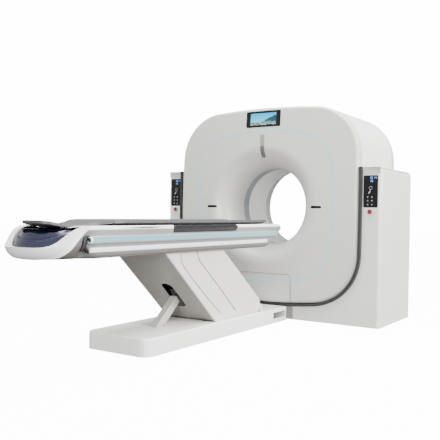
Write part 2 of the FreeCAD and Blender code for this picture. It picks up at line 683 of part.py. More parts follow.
# The light ring lies in a groove that runs over both.
ring_floor = turned_form(LIGHT_DEPTH)
groove_floor = turned_form(LIGHT_DEPTH + LIGHT_FIT)
light_band = light_prism(LIGHT_WIDTH / 2, -far, 0).cut(light_prism(-LIGHT_WIDTH / 2, -far, 0))
light_groove = light_prism(LIGHT_WIDTH / 2 + LIGHT_FIT, -far, 0)
light_groove = light_groove.cut(light_prism(-LIGHT_WIDTH / 2 - LIGHT_FIT, -far, 0)).cut(groove_floor)
light_ring = light_band.common(turned_form(0.0)).cut(ring_floor)
front_cover = front_cover.cut(light_groove)
access_panel = access_panel.cut(light_groove)

# The positioning light's window follows the face down into the funnel.
laser_slot = block(-LASER_WIDTH / 2, LASER_WIDTH / 2, -far, THROAT_Y, LASER_BOTTOM_Z, LASER_TOP_Z)
laser_plug = block(LIGHT_FIT - LASER_WIDTH / 2, LASER_WIDTH / 2 - LIGHT_FIT, -far, THROAT_Y,
                   LASER_BOTTOM_Z + LIGHT_FIT, LASER_TOP_Z - LIGHT_FIT)
laser_window = front_cover.common(laser_plug)
front_cover = front_cover.cut(laser_slot)

# Display, leaning back with the top of the face.
display_front_y = dome_y(DISPLAY_LOW_Z - ISO_Z) - DISPLAY_PROUD


def leaning_block(half_width, low, high, front, back):
    """A block in the display's own plane, low and high measured up its face."""
    shape = block(-half_width, half_width, front, back, low, high)
    shape.rotate(vec(0, 0, 0), vec(1, 0, 0), -DISPLAY_LEAN)
    shape.translate(vec(0, display_front_y, DISPLAY_LOW_Z))
    return shape


bezel = leaning_block(DISPLAY_HALF_WIDTH, 0, DISPLAY_HEIGHT, 0, DISPLAY_DEPTH)
lean = math.radians(DISPLAY_LEAN)
through_bezel = vec(0, math.cos(lean), -math.sin(lean))
bezel = bezel.makeFillet(DISPLAY_CORNER, edges_along(bezel, through_bezel, lambda p: True))
screen_half = DISPLAY_HALF_WIDTH - DISPLAY_BORDER
screen_recess = leaning_block(screen_half, DISPLAY_BORDER, DISPLAY_HEIGHT - DISPLAY_BORDER,
                              -DISPLAY_DEPTH, SCREEN_RECESS)
display_bezel = bezel.cut(screen_recess)
display_screen = leaning_block(screen_half - LIGHT_FIT, DISPLAY_BORDER + LIGHT_FIT,
                               DISPLAY_HEIGHT - DISPLAY_BORDER - LIGHT_FIT, SCREEN_INSET, SCREEN_RECESS)
display_pocket = leaning_block(DISPLAY_HALF_WIDTH + LIGHT_FIT, -LIGHT_FIT, DISPLAY_HEIGHT + LIGHT_FIT,
                               -DISPLAY_DEPTH * 2, DISPLAY_DEPTH * 2)
front_cover = front_cover.cut(display_pocket)

# Two oblong intercom ports beside the funnel, sunk a little into the face.


def oblong_y(x, grow):
    half = PORT_LENGTH / 2 - PORT_HEIGHT / 2
    radius = PORT_HEIGHT / 2 + grow
    shape = block(x - half, x + half, -far, THROAT_Y, PORT_Z - radius, PORT_Z + radius)
    shape = shape.fuse(rod_y(radius, -far, THROAT_Y, x - half, PORT_Z))
    return shape.fuse(rod_y(radius, -far, THROAT_Y, x + half, PORT_Z))


ports = []
for side in (-1, 1):
    port = front_cover.common(oblong_y(side * PORT_X, 0.0))
    port.translate(vec(0, PORT_SUNK, 0))
    ports.append(port)
    front_cover = front_cover.cut(oblong_y(side * PORT_X, LIGHT_FIT))

scan_window = ring_y(BORE_RADIUS, BORE_RADIUS + WINDOW_WALL, THROAT_Y, THROAT_Y + WINDOW_WIDTH)
bore_liner = ring_y(BORE_RADIUS, BORE_RADIUS + POD_WALL, THROAT_Y + WINDOW_WIDTH, -THROAT_Y)

save(front_cover, "front_cover")
save(rear_cover, "rear_cover")
save(side_wrap, "side_wrap")
save(access_panel, "access_panel")
save(light_ring, "light_ring")
save(laser_window, "laser_window")
save(display_bezel, "display_bezel")
save(display_screen, "display_screen")
save(Part.makeCompound(ports), "intercom_ports")
save(scan_window, "scan_window")
save(bore_liner, "bore_liner")

# ============================================ inside the pod: carrier and rotor ====

stator = ring_y(STATOR_INNER, STATOR_OUTER, STATOR_Y, STATOR_Y + STATOR_THICK)
for turn in range(12):
    hole = rod_y(STATOR_HOLE, STATOR_Y - 1, STATOR_Y + STATOR_THICK + 1, 0, ISO_Z + BEARING_HOLES_AT)
    hole.rotate(vec(0, 0, ISO_Z), vec(0, 1, 0), 15 + 30 * turn)
    stator = stator.cut(hole)
yoke_inner = YOKE_OUTER_X - YOKE_PLATE
yoke_high = STATOR_Y + STATOR_THICK
for side in (-1, 1):
    arm = block(STATOR_OUTER - YOKE_LAP, yoke_inner, STATOR_Y, yoke_high, ISO_Z - YOKE_HALF,
                ISO_Z + YOKE_HALF)
    plate = block(yoke_inner, YOKE_OUTER_X, -YOKE_HALF, yoke_high, ISO_Z - YOKE_HALF, ISO_Z + YOKE_HALF)
    yoke = arm.fuse(plate)
    if side < 0:
        yoke = mirrored(yoke)
    stator = stator.fuse(yoke)
stator = stator.removeSplitter()

tilt_shafts = []
for side in (-1, 1):
    flange = rod_x(TILT_FLANGE_RADIUS, YOKE_OUTER_X, YOKE_OUTER_X + TILT_FLANGE, 0, ISO_Z)
    shaft = rod_x(TILT_SHAFT_RADIUS, YOKE_OUTER_X, TILT_SHAFT_END_X, 0, ISO_Z)
    shaft = flange.fuse(shaft).removeSplitter()
    tilt_shafts.append(mirrored(shaft) if side < 0 else shaft)

rotor_ring = ring_y(ROTOR_INNER, ROTOR_OUTER, ROTOR_Y, ROTOR_Y + ROTOR_THICK)
hub = ring_y(STATOR_INNER - BEARING_GAP - BEARING_WALL, STATOR_INNER - BEARING_GAP,
             ROTOR_Y + ROTOR_THICK, STATOR_Y + STATOR_THICK)
rotor_ring = rotor_ring.fuse(hub).removeSplitter()
for turn in range(8):
    hole = rod_y(ROTOR_HOLE, ROTOR_Y - 1, ROTOR_Y + ROTOR_THICK + 1, 0, ISO_Z + TUBE_OFFSET)
    hole.rotate(vec(0, 0, ISO_Z), vec(0, 1, 0), 22.5 + 45 * turn)
    rotor_ring = rotor_ring.cut(hole)

tube_z = ISO_Z + TUBE_OFFSET
x_ray_tube = rod_y(TUBE_RADIUS, ROTOR_Y - TUBE_LENGTH, ROTOR_Y, 0, tube_z)
x_ray_tube = x_ray_tube.makeChamfer(TUBE_CHAMFER, [edge for edge in x_ray_tube.Edges
                                                  if abs(edge.CenterOfMass.y - ROTOR_Y + TUBE_LENGTH) < 1])
collimator = front_profile([(-COLLIMATOR_HALF, tube_z), (COLLIMATOR_HALF, tube_z),
                            (COLLIMATOR_HALF + COLLIMATOR_FLARE, ISO_Z + COLLIMATOR_LOW),
                            (-COLLIMATOR_HALF - COLLIMATOR_FLARE, ISO_Z + COLLIMATOR_LOW)],
                           BEAM_Y - DETECTOR_WIDTH / 2, BEAM_Y + DETECTOR_WIDTH / 2)
collimator = collimator.cut(rod_y(TUBE_RADIUS, -far, far, 0, tube_z))
collimator = collimator.cut(block(-COLLIMATOR_HALF, COLLIMATOR_HALF, BEAM_Y - BEAM_SLIT / 2,
                                  BEAM_Y + BEAM_SLIT / 2, ISO_Z, tube_z))

wedge_reach = 2 * POD_HALF_WIDTH
half_turn = math.radians(DETECTOR_HALF_ANGLE)
arc_wedge = front_profile([(0, ISO_Z), (wedge_reach * math.sin(half_turn),
                                        ISO_Z - wedge_reach * math.cos(half_turn)),
                           (-wedge_reach * math.sin(half_turn), ISO_Z - wedge_reach * math.cos(half_turn))],
                          BEAM_Y - DETECTOR_WIDTH, ROTOR_Y)
detector = ring_y(DETECTOR_INNER, DETECTOR_OUTER, BEAM_Y - DETECTOR_WIDTH / 2, BEAM_Y + DETECTOR_WIDTH / 2)
detector = detector.common(arc_wedge)
carrier = ring_y(DETECTOR_OUTER - DETECTOR_CARRIER, DETECTOR_OUTER, BEAM_Y + DETECTOR_WIDTH / 2, ROTOR_Y)
detector = detector.fuse(carrier.common(arc_wedge)).removeSplitter()
for step in range(DETECTOR_SLOTS):
    turn = DETECTOR_HALF_ANGLE * (2 * (step + 0.5) / DETECTOR_SLOTS - 1)
    slot = block(-DETECTOR_SLOT / 2, DETECTOR_SLOT / 2, BEAM_Y - DETECTOR_WIDTH,
                 BEAM_Y + DETECTOR_WIDTH / 2 - DETECTOR_SLOT, ISO_Z - DETECTOR_OUTER - 1,
                 ISO_Z - DETECTOR_OUTER + DETECTOR_CARRIER)
    slot.rotate(vec(0, 0, ISO_Z), vec(0, 1, 0), turn)
    detector = detector.cut(slot)


def side_case(side):
    low_x = CASE_INNER_X if side > 0 else -CASE_OUTER_X
    high_x = CASE_OUTER_X if side > 0 else -CASE_INNER_X
    case = block(low_x, high_x, ROTOR_Y - CASE_DEPTH, ROTOR_Y, ISO_Z - CASE_HALF, ISO_Z + CASE_HALF)
    return case.makeFillet(CASE_EDGE, edges_along(case, vec(0, 1, 0), lambda p: True))


generator = side_case(1)
cooling_unit = side_case(-1)
for step in range(CASE_LOUVRES):
    z = ISO_Z + CASE_HALF * (2 * (step + 1) / (CASE_LOUVRES + 1) - 1)
    cooling_unit = cooling_unit.cut(block(-CASE_OUTER_X + CASE_EDGE, -CASE_INNER_X - CASE_EDGE,
                                          ROTOR_Y - CASE_DEPTH - 1, ROTOR_Y - CASE_DEPTH + LOUVRE_DEPTH,
                                          z - LOUVRE_HEIGHT / 2, z + LOUVRE_HEIGHT / 2))

save(stator, "stator_frame")
save(Part.makeCompound(tilt_shafts), "tilt_shafts")
save(rotor_ring, "rotor_ring")
save(x_ray_tube, "x_ray_tube")
save(collimator, "collimator")
save(detector, "detector_array")
save(generator, "generator")
save(cooling_unit, "cooling_unit")

# ======================================================= floor base and pedestals ====

base_plate = block(-BASE_HALF_WIDTH, BASE_HALF_WIDTH, BASE_FRONT_Y, BASE_REAR_Y, 0, BASE_PLATE)
rail_top = BASE_PLATE + RAIL_HEIGHT
front_rail = block(-BASE_HALF_WIDTH, BASE_HALF_WIDTH, BASE_FRONT_Y, BASE_FRONT_Y + RAIL_WIDTH,
                   BASE_PLATE, rail_top)
rear_rail = block(-BASE_HALF_WIDTH, BASE_HALF_WIDTH, BASE_REAR_Y - RAIL_WIDTH, BASE_REAR_Y, BASE_PLATE,
                  rail_top)
base_plate = base_plate.fuse([front_rail, rear_rail]).removeSplitter()
for x in (-ANCHOR_X, ANCHOR_X):
    for y in (-ANCHOR_Y, ANCHOR_Y):
        base_plate = base_plate.cut(rod_z(ANCHOR_RADIUS, -1, BASE_PLATE + 1, x, y))

tower = block(TOWER_INNER_X, TOWER_OUTER_X, -TOWER_HALF_DEPTH, TOWER_HALF_DEPTH, BASE_PLATE, TOWER_TOP_Z)
tower_hollow = block(TOWER_INNER_X + TOWER_PLATE, TOWER_OUTER_X - TOWER_PLATE,
                     TOWER_PLATE - TOWER_HALF_DEPTH, TOWER_HALF_DEPTH - TOWER_PLATE,
                     BASE_PLATE + TOWER_PLATE, TOWER_TOP_Z - TOWER_PLATE)
shelf_z = ISO_Z - TILT_BEARING_RADIUS
shelf = block(TOWER_INNER_X, TOWER_OUTER_X, -TOWER_HALF_DEPTH, TOWER_HALF_DEPTH, shelf_z - TOWER_PLATE,
              shelf_z)
tower = tower.cut(tower_hollow).fuse(shelf).removeSplitter()
tower = tower.cut(rod_x(TILT_SHAFT_HOLE, TOWER_INNER_X - 1, TOWER_INNER_X + TOWER_PLATE + 1, 0, ISO_Z))
for z in TOWER_WINDOWS_Z:
    window = block(TOWER_INNER_X - 1, TOWER_OUTER_X + 1, -TOWER_WINDOW_HALF, TOWER_WINDOW_HALF,
                   z - TOWER_WINDOW_HALF, z + TOWER_WINDOW_HALF)
    window = window.makeFillet(TOWER_WINDOW_CORNER, edges_along(window, vec(1, 0, 0), lambda p: True))
    tower = tower.cut(window)

bearing_mid_x = (TOWER_INNER_X + TOWER_OUTER_X) / 2
bearing_low = bearing_mid_x - TILT_BEARING_WIDTH / 2
bearing_high = bearing_mid_x + TILT_BEARING_WIDTH / 2
bearing = rod_x(TILT_BEARING_RADIUS, bearing_low, bearing_high, 0, ISO_Z)
bearing = bearing.fuse(block(bearing_low, bearing_high, -BEARING_FOOT_HALF, BEARING_FOOT_HALF,
                             shelf_z, shelf_z + BEARING_FOOT))
bearing = bearing.removeSplitter().cut(rod_x(TILT_SHAFT_RADIUS + TILT_SHAFT_FIT, bearing_low - 1,
                                             bearing_high + 1, 0, ISO_Z))

trim_depth = 2 * PEDESTAL_EDGE
front_trim = pod_prism(FRONT_TRIM_OFFSET, SEAL_FRONT_Y - trim_depth, 0)
rear_trim = pod_prism(REAR_TRIM_OFFSET, 0, PEDESTAL_REAR_Y + trim_depth)
inner_face = PEDESTAL_FRONT_Y + PEDESTAL_WALL


def ear_form(inset):
    """Pedestal beside the pod, with a rounded shoulder and rounded outer edges."""
    low_z = FLOOR_GAP if inset == 0 else 0
    ear = block(PEDESTAL_INNER_X + inset, PEDESTAL_OUTER_X - inset, PEDESTAL_FRONT_Y + inset,
                PEDESTAL_REAR_Y - inset, low_z, PEDESTAL_TOP_Z - inset)
    shoulder = edges_along(ear, vec(0, 1, 0), lambda p: p.x > PEDESTAL_OUTER_X - inset - 1 and p.z > ISO_Z)
    ear = ear.makeFillet(PEDESTAL_SHOULDER - inset, shoulder)
    rims = []
    for edge in ear.Edges:
        middle = edge.CenterOfMass
        at_end = min(abs(middle.y - PEDESTAL_FRONT_Y - inset),
                     abs(middle.y - PEDESTAL_REAR_Y + inset)) < 1e-3
        if at_end and middle.z > FLOOR_GAP + 1 and middle.x > PEDESTAL_INNER_X + inset + 1:
            rims.append(edge)
    return ear.makeFillet(PEDESTAL_EDGE - inset, rims)


ear_outer = ear_form(0)
ear_inner = ear_form(PEDESTAL_WALL)
ear_shell = ear_outer.cut(ear_inner)
cap_low = PEDESTAL_TOP_Z - CAP_HEIGHT + CAP_SHADOW_GAP
ear_shell_low = ear_shell.common(block(0, REACH, -REACH, REACH, 0, PEDESTAL_TOP_Z - CAP_HEIGHT))
cap = ear_shell.common(block(0, REACH, -REACH, REACH, cap_low, REACH))
skirt_outer = ear_form(PEDESTAL_WALL + CAP_FIT)
skirt_inner = ear_form(PEDESTAL_WALL + CAP_FIT + COVER_WALL)
skirt_band = block(0, REACH, -REACH, REACH, cap_low - CAP_SHADOW_GAP - CAP_SKIRT, REACH)
cap = cap.fuse(skirt_outer.cut(skirt_inner).common(skirt_band)).removeSplitter()
cap = cap.fuse(ear_inner.cut(skirt_inner).common(block(0, REACH, -REACH, REACH, cap_low,
                                                       REACH))).removeSplitter()

wing_front = block(FASCIA_HALF_WIDTH, PEDESTAL_INNER_X + PEDESTAL_WALL, PEDESTAL_FRONT_Y, inner_face,
                   FLOOR_GAP, ISO_Z).cut(front_trim)
wing_rear = block(FASCIA_HALF_WIDTH, PEDESTAL_INNER_X + PEDESTAL_WALL, PEDESTAL_REAR_Y - PEDESTAL_WALL,
                  PEDESTAL_REAR_Y, FLOOR_GAP, ISO_Z).cut(rear_trim)
pedestal = ear_shell_low.fuse([wing_front, wing_rear]).removeSplitter()
pedestal = pedestal.cut(block(PEDESTAL_INNER_X - 1, PEDESTAL_INNER_X + PEDESTAL_WALL + 1, -LOW_OPEN_HALF,
                              LOW_OPEN_HALF, 0, rail_top + FLOOR_GAP))
pedestal = pedestal.cut(rod_x(TILT_SHAFT_HOLE, PEDESTAL_INNER_X - 1,
                              PEDESTAL_INNER_X + PEDESTAL_WALL + 1, 0, ISO_Z))


def panel_block(grow, front, rear):
    panel = block(PANEL_INNER_X - grow, PANEL_OUTER_X + grow, front, rear, PANEL_LOW_Z - grow,
                  PANEL_HIGH_Z + grow)
    return panel.makeFillet(PANEL_CORNER, edges_along(panel, vec(0, 1, 0), lambda p: True))


panel_rear = PEDESTAL_FRONT_Y - PANEL_PROUD + PANEL_THICK
control_panel = panel_block(0, PEDESTAL_FRONT_Y - PANEL_PROUD, panel_rear)
pedestal = pedestal.cut(panel_block(PANEL_FIT, PEDESTAL_FRONT_Y - 1, panel_rear))
pedestal = pedestal.cut(rod_y(STOP_BARREL_RADIUS, PEDESTAL_FRONT_Y - 1, inner_face + 1, STOP_X, STOP_Z))

collar_front = PEDESTAL_FRONT_Y - STOP_COLLAR_PROUD
barrel_rear = PEDESTAL_FRONT_Y + STOP_BARREL_LENGTH
collar = rod_y(STOP_COLLAR_RADIUS, collar_front, PEDESTAL_FRONT_Y, STOP_X, STOP_Z)
collar = collar.fuse(rod_y(STOP_BARREL_RADIUS, PEDESTAL_FRONT_Y, barrel_rear, STOP_X,
                           STOP_Z)).removeSplitter()
collar = collar.cut(rod_y(STOP_STEM_RADIUS + STOP_STEM_FIT, collar_front - 1, barrel_rear + 1, STOP_X,
                          STOP_Z))
head_rear = collar_front - STOP_HEAD_GAP - STOP_TRAVEL
head_front = head_rear - STOP_HEAD_THICK
shoulder_y = head_rear + STOP_SHOULDER_GAP
stem_rear = barrel_rear + STOP_CLIP_GAP
stem = rod_y(STOP_STEM_RADIUS, shoulder_y, stem_rear, STOP_X, STOP_Z)
stem = stem.fuse(rod_y(STOP_NOSE_RADIUS, shoulder_y - STOP_NOSE_LENGTH, shoulder_y, STOP_X, STOP_Z))
stem = stem.fuse(rod_y(STOP_CLIP_RADIUS, stem_rear, stem_rear + STOP_CLIP, STOP_X, STOP_Z)).removeSplitter()
head = rod_y(STOP_HEAD_RADIUS, head_front, head_rear, STOP_X, STOP_Z)
head = head.makeFillet(STOP_HEAD_ROUND,
                       [edge for edge in head.Edges if abs(edge.CenterOfMass.y - head_front) < 1e-3])
head = head.cut(rod_y(STOP_NOSE_RADIUS + STOP_STEM_FIT, shoulder_y - STOP_NOSE_LENGTH - STOP_SHOULDER_GAP,
                      head_rear + 1, STOP_X, STOP_Z))
for turn in range(STOP_GRIPS):
    grip = rod_y(STOP_GRIP_RADIUS, head_front - 1, head_rear + 1,
                 STOP_X + STOP_HEAD_RADIUS + STOP_GRIP_OUT, STOP_Z)
    grip.rotate(vec(STOP_X, 0, STOP_Z), vec(0, 1, 0), 360.0 * turn / STOP_GRIPS)
    head = head.cut(grip)

fascia_edge = FASCIA_HALF_WIDTH - SEAM
base_fascia = block(-fascia_edge, fascia_edge, PEDESTAL_FRONT_Y, PEDESTAL_FRONT_Y + FASCIA_WALL,
                    FLOOR_GAP, ISO_Z)
base_fascia = base_fascia.cut(front_trim)
rear_fascia = block(-fascia_edge, fascia_edge, PEDESTAL_REAR_Y - PEDESTAL_WALL, PEDESTAL_REAR_Y,
                    FLOOR_GAP, ISO_Z)
rear_fascia = rear_fascia.cut(rear_trim)

below_cap = block(-REACH, REACH, -REACH, 0, 0, PEDESTAL_TOP_Z)
seal_lip = pod_prism(SEAL_STEP, SEAL_FRONT_Y, SEAL_FRONT_Y + SEAL_LIP_DEPTH)
seal_lip = seal_lip.cut(pod_prism(SEAL_INNER, SEAL_FRONT_Y - 1, 0))
seal_front = SEAL_FRONT_Y + SEAL_BODY_SET_BACK
seal_body = pod_prism(FRONT_TRIM_OFFSET, seal_front, SEAL_BODY_REAR_Y).cut(pod_prism(SEAL_STEP,
                                                                                     seal_front - 1, 0))
seal_root = pod_prism(FRONT_TRIM_OFFSET, SEAL_BODY_REAR_Y, inner_face)
seal_root = seal_root.cut(pod_prism(SEAL_ROOT, SEAL_BODY_REAR_Y - 1, 0))
gap_seal = seal_body.fuse([seal_lip, seal_root]).removeSplitter().common(below_cap)

save(base_plate, "gantry_base_plate")
save(mirrored(tower), "left_tower")
save(tower, "right_tower")
save(Part.makeCompound([mirrored(bearing), bearing]), "tilt_bearings")
save(mirrored(pedestal), "left_pedestal_cover")
save(pedestal, "right_pedestal_cover")
save(mirrored(cap), "left_pedestal_cap")
save(cap, "right_pedestal_cap")
save(mirrored(control_panel), "left_control_panel")
save(control_panel, "right_control_panel")
save(mirrored(collar), "left_stop_collar")
save(collar, "right_stop_collar")
save(mirrored(stem), "left_stop_stem")
save(stem, "right_stop_stem")
save(mirrored(head), "left_stop_head")
save(head, "right_stop_head")
save(base_fascia, "base_fascia")
save(rear_fascia, "rear_fascia")
save(gap_seal, "gap_seal")

# =============================================================== table's plinth ====

BASE_Z = PLINTH_PLATE
middle_pivot_y = ARM_PIVOT_Y + MIDDLE_PIVOT_STEP
rear_pivot_y = ARM_PIVOT_Y + REAR_PIVOT_STEP
link_rise = math.radians(LINK_ANGLE)
link_height = PIVOT_HIGH_Z - PIVOT_LOW_Z
link_length = link_height / math.sin(link_rise)
link_run = link_length * math.cos(link_rise)
pocket_head_y = rear_pivot_y + REAR_DEPTH + CURB_GAP + CURB_THICK
middle_pin_y = middle_pivot_y - MIDDLE_PIN_SET_BACK * math.sin(link_rise)
middle_pin_z = PIVOT_LOW_Z - MIDDLE_PIN_SET_BACK * math.cos(link_rise)


def plinth_form(inset):
    face_low = PLINTH_FOOT_Y + inset
    high_z = PLINTH_TOP_Z - inset
    low_z = FLOOR_GAP if inset == 0 else 0
    form = block(inset - PLINTH_HALF_WIDTH, PLINTH_HALF_WIDTH - inset, face_low, PLINTH_HEAD_Y - inset,
                 low_z, high_z)
    form = form.makeFillet(PLINTH_CORNER - inset, edges_along(form, vec(0, 0, 1),
                                                              lambda p: p.y < face_low + 1))
    top_edges = [edge for edge in form.Edges
                 if abs(edge.CenterOfMass.z - high_z) < 1e-3 and edge.CenterOfMass.y < PLINTH_HEAD_Y - inset - 1]
    return form.makeFillet(PLINTH_EDGE - inset / 2, top_edges)


plinth_cover = plinth_form(0).cut(plinth_form(PLINTH_WALL))
plinth_cover = plinth_cover.cut(block(-POCKET_HALF_WIDTH, POCKET_HALF_WIDTH, POCKET_FOOT_Y, pocket_head_y,
                                      PLINTH_TOP_Z / 2, PLINTH_TOP_Z + 1))
foot_slot_half = FOOT_EAR_OUTER_X + FOOT_SLOT_SIDE_GAP
plinth_cover = plinth_cover.cut(block(-foot_slot_half, foot_slot_half, FOOT_SLOT_FOOT_Y, FOOT_SLOT_HEAD_Y,
                                      PLINTH_TOP_Z / 2, PLINTH_TOP_Z + 1))
curb = block(-POCKET_HALF_WIDTH, POCKET_HALF_WIDTH, pocket_head_y - CURB_THICK, pocket_head_y,
             PLINTH_TOP_Z - PLINTH_WALL, CURB_TOP_Z)
plinth_cover = plinth_cover.fuse(curb).removeSplitter()
outlet = block(PLINTH_HALF_WIDTH - 2 * PLINTH_WALL, PLINTH_HALF_WIDTH + 1, OUTLET_FOOT_Y, OUTLET_HEAD_Y,
               OUTLET_BOTTOM_Z, OUTLET_TOP_Z)
outlet = outlet.makeFillet(OUTLET_CORNER, edges_along(outlet, vec(1, 0, 0), lambda p: True))
plinth_cover = plinth_cover.cut(outlet)

bridge = block(-BRIDGE_HALF_WIDTH, BRIDGE_HALF_WIDTH, PLINTH_HEAD_Y, PEDESTAL_FRONT_Y, FLOOR_GAP,
               BRIDGE_TOP_Z)
bridge = bridge.makeFillet(PLINTH_EDGE, edges_along(bridge, vec(0, 1, 0), lambda p: p.z > BRIDGE_TOP_Z - 1))
bridge = bridge.cut(block(PLINTH_WALL - BRIDGE_HALF_WIDTH, BRIDGE_HALF_WIDTH - PLINTH_WALL,
                          PLINTH_HEAD_Y - 1,
                          PEDESTAL_FRONT_Y + 1, 0, BRIDGE_TOP_Z - PLINTH_WALL))


def low_bracket(pivot_y, leg_low_y, leg_high_y, low_x, high_x, eye_radius):
    """Upright plate with a rounded eye about a pivot, and a leg down to the base plate."""
    eye = rod_x(eye_radius, low_x, high_x, pivot_y, PIVOT_LOW_Z)
    leg = side_profile([(pivot_y + leg_low_y, BASE_Z), (pivot_y + leg_high_y, BASE_Z),
                        (pivot_y + leg_high_y, PIVOT_LOW_Z - LEG_SLOPE),
                        (pivot_y + eye_radius / 2, PIVOT_LOW_Z),
                        (pivot_y + leg_low_y, PIVOT_LOW_Z)], low_x, high_x)
    return eye.fuse(leg).removeSplitter()


plate_half = PLINTH_HALF_WIDTH - PLINTH_PLATE_INSET
plinth_frame = block(-plate_half, plate_half, PLINTH_FOOT_Y + PLINTH_PLATE_INSET,
                     PLINTH_HEAD_Y - PLINTH_PLATE_INSET, 0, PLINTH_PLATE)
plinth_frame = plinth_frame.makeFillet(PLINTH_CORNER - PLINTH_PLATE_INSET,
                                       edges_along(plinth_frame, vec(0, 0, 1), lambda p: p.y < ARM_PIVOT_Y))
for x in (-PLINTH_ANCHOR_X, PLINTH_ANCHOR_X):
    for y in (PLINTH_ANCHOR_FOOT_Y, PLINTH_ANCHOR_HEAD_Y):
        plinth_frame = plinth_frame.cut(rod_z(ANCHOR_RADIUS, -1, PLINTH_PLATE + 1, x, y))
side_bracket_outer_x = SIDE_BRACKET_INNER_X + SIDE_BRACKET_THICK
brackets = [low_bracket(ARM_PIVOT_Y, BRACKET_SET_BACK, BRACKET_SET_BACK + BRACKET_LEG, BRACKET_INNER_X,
                        BRACKET_OUTER_X, PIVOT_EYE_RADIUS),
            low_bracket(rear_pivot_y, -BRACKET_LEG, BRACKET_SET_BACK, BRACKET_INNER_X,
                        BRACKET_OUTER_X, PIVOT_EYE_RADIUS)]
side_bracket = rod_x(MIDDLE_EYE_RADIUS, SIDE_BRACKET_INNER_X, side_bracket_outer_x, middle_pin_y, middle_pin_z)
brackets.append(side_bracket.fuse(block(SIDE_BRACKET_INNER_X, side_bracket_outer_x,
                                        middle_pin_y - MIDDLE_EYE_RADIUS, middle_pin_y + MIDDLE_EYE_RADIUS,
                                        BASE_Z, middle_pin_z)).removeSplitter())
foot_ear = rod_x(FOOT_EAR_RADIUS, FOOT_EAR_INNER_X, FOOT_EAR_OUTER_X, ACTUATOR_FOOT_Y, ACTUATOR_FOOT_Z)
foot_ear = foot_ear.fuse(block(FOOT_EAR_INNER_X, FOOT_EAR_OUTER_X, ACTUATOR_FOOT_Y - FOOT_EAR_RADIUS,
                               ACTUATOR_FOOT_Y + FOOT_EAR_RADIUS, BASE_Z, ACTUATOR_FOOT_Z))
brackets.append(foot_ear.common(block(0, REACH, -2 * REACH, 0, 0, PLINTH_TOP_Z - PLINTH_WALL)))
brackets += [mirrored(bracket) for bracket in brackets]
plinth_frame = plinth_frame.fuse(brackets).removeSplitter()
plinth_frame = plinth_frame.cut(rod_x(PIVOT_RADIUS, -REACH, REACH, ARM_PIVOT_Y, PIVOT_LOW_Z))
plinth_frame = plinth_frame.cut(rod_x(MIDDLE_PIN_RADIUS, -REACH, REACH, middle_pin_y, middle_pin_z))
plinth_frame = plinth_frame.cut(rod_x(PIVOT_RADIUS, -REACH, REACH, rear_pivot_y, PIVOT_LOW_Z))
plinth_frame = plinth_frame.cut(rod_x(ACTUATOR_PIN_RADIUS, -REACH, REACH, ACTUATOR_FOOT_Y, ACTUATOR_FOOT_Z))

middle_outer_x = COLUMN_HALF_WIDTH - NEST_STEP
rear_outer_x = COLUMN_HALF_WIDTH - 2 * NEST_STEP


def pivot_pins(step_y, step_z):
    """The three pivots' shafts; the middle one is two stubs, outside the rear cover."""
    rear_y = rear_pivot_y + step_y
    pins = [rod_x(PIVOT_RADIUS, -BRACKET_OUTER_X, BRACKET_OUTER_X, ARM_PIVOT_Y + step_y, PIVOT_LOW_Z + step_z),
            rod_x(PIVOT_RADIUS, -rear_outer_x, rear_outer_x, rear_y, PIVOT_LOW_Z + step_z)]
    stub = rod_x(MIDDLE_PIN_RADIUS, SIDE_BRACKET_INNER_X, middle_outer_x, middle_pin_y + step_y,
                 middle_pin_z + step_z)
    return pins + [stub, mirrored(stub)]


pivot_shafts = pivot_pins(0, 0)
pivot_shafts.append(rod_x(ACTUATOR_PIN_RADIUS, -FOOT_EAR_OUTER_X, FOOT_EAR_OUTER_X, ACTUATOR_FOOT_Y,
                          ACTUATOR_FOOT_Z))

save(plinth_cover, "plinth_cover")
save(bridge, "plinth_bridge")
save(plinth_frame, "plinth_frame")
save(Part.makeCompound(pivot_shafts), "pivot_shafts")

# ============================================================ swinging link column ====
# Links are drawn lying along -Y from their lower pivot, then turned up into place.


def onto_link(shape, pivot_y):
    placed = shape.copy()
    placed.rotate(vec(0, 0, 0), vec(1, 0, 0), -LINK_ANGLE)
    placed.translate(vec(0, pivot_y, PIVOT_LOW_Z))
    return placed


def along(points, low_x, high_x):
    """Prism from an outline of (s, n): s up the link, n off it, towards the gantry."""
    return side_profile([(-s, n) for s, n in points], low_x, high_x)


def bar(low_x, high_x, low_s, high_s, low_n, high_n):
    return block(low_x, high_x, -high_s, -low_s, low_n, high_n)


def round_end(radius, s, half_x):
    return rod_x(radius, -half_x, half_x, -s, 0)


wall_end_s = link_length - FRONT_WALL_END
front_outline = [(0, -FRONT_DEPTH), (FRONT_EDGE[0][0], -FRONT_SKIRT_N)] + list(FRONT_EDGE)
front_outline += [(link_length, FRONT_EDGE[-1][1]), (link_length, -HEAD_ROUND), (wall_end_s, -HEAD_ROUND),
                  (wall_end_s, -FRONT_DEPTH)]
front_outer = along(front_outline, -COLUMN_HALF_WIDTH, COLUMN_HALF_WIDTH)
front_outer = front_outer.fuse([round_end(FRONT_DEPTH, 0, COLUMN_HALF_WIDTH),
                                round_end(HEAD_ROUND, link_length, COLUMN_HALF_WIDTH)]).removeSplitter()
front_inner = bar(COVER_WALL - COLUMN_HALF_WIDTH, COLUMN_HALF_WIDTH - COVER_WALL, -link_length,
                  2 * link_length, COVER_WALL - FRONT_DEPTH, 2 * FRONT_DEPTH)
lift_cover = front_outer.cut(front_inner)
slot_low = SLOT_LOW_S + SLOT_HALF_WIDTH
slot_high = SLOT_HIGH_S - SLOT_HALF_WIDTH
slot = bar(SLOT_MID_X - SLOT_HALF_WIDTH, SLOT_MID_X + SLOT_HALF_WIDTH, slot_low, slot_high,
           -FRONT_DEPTH - 1, 0)
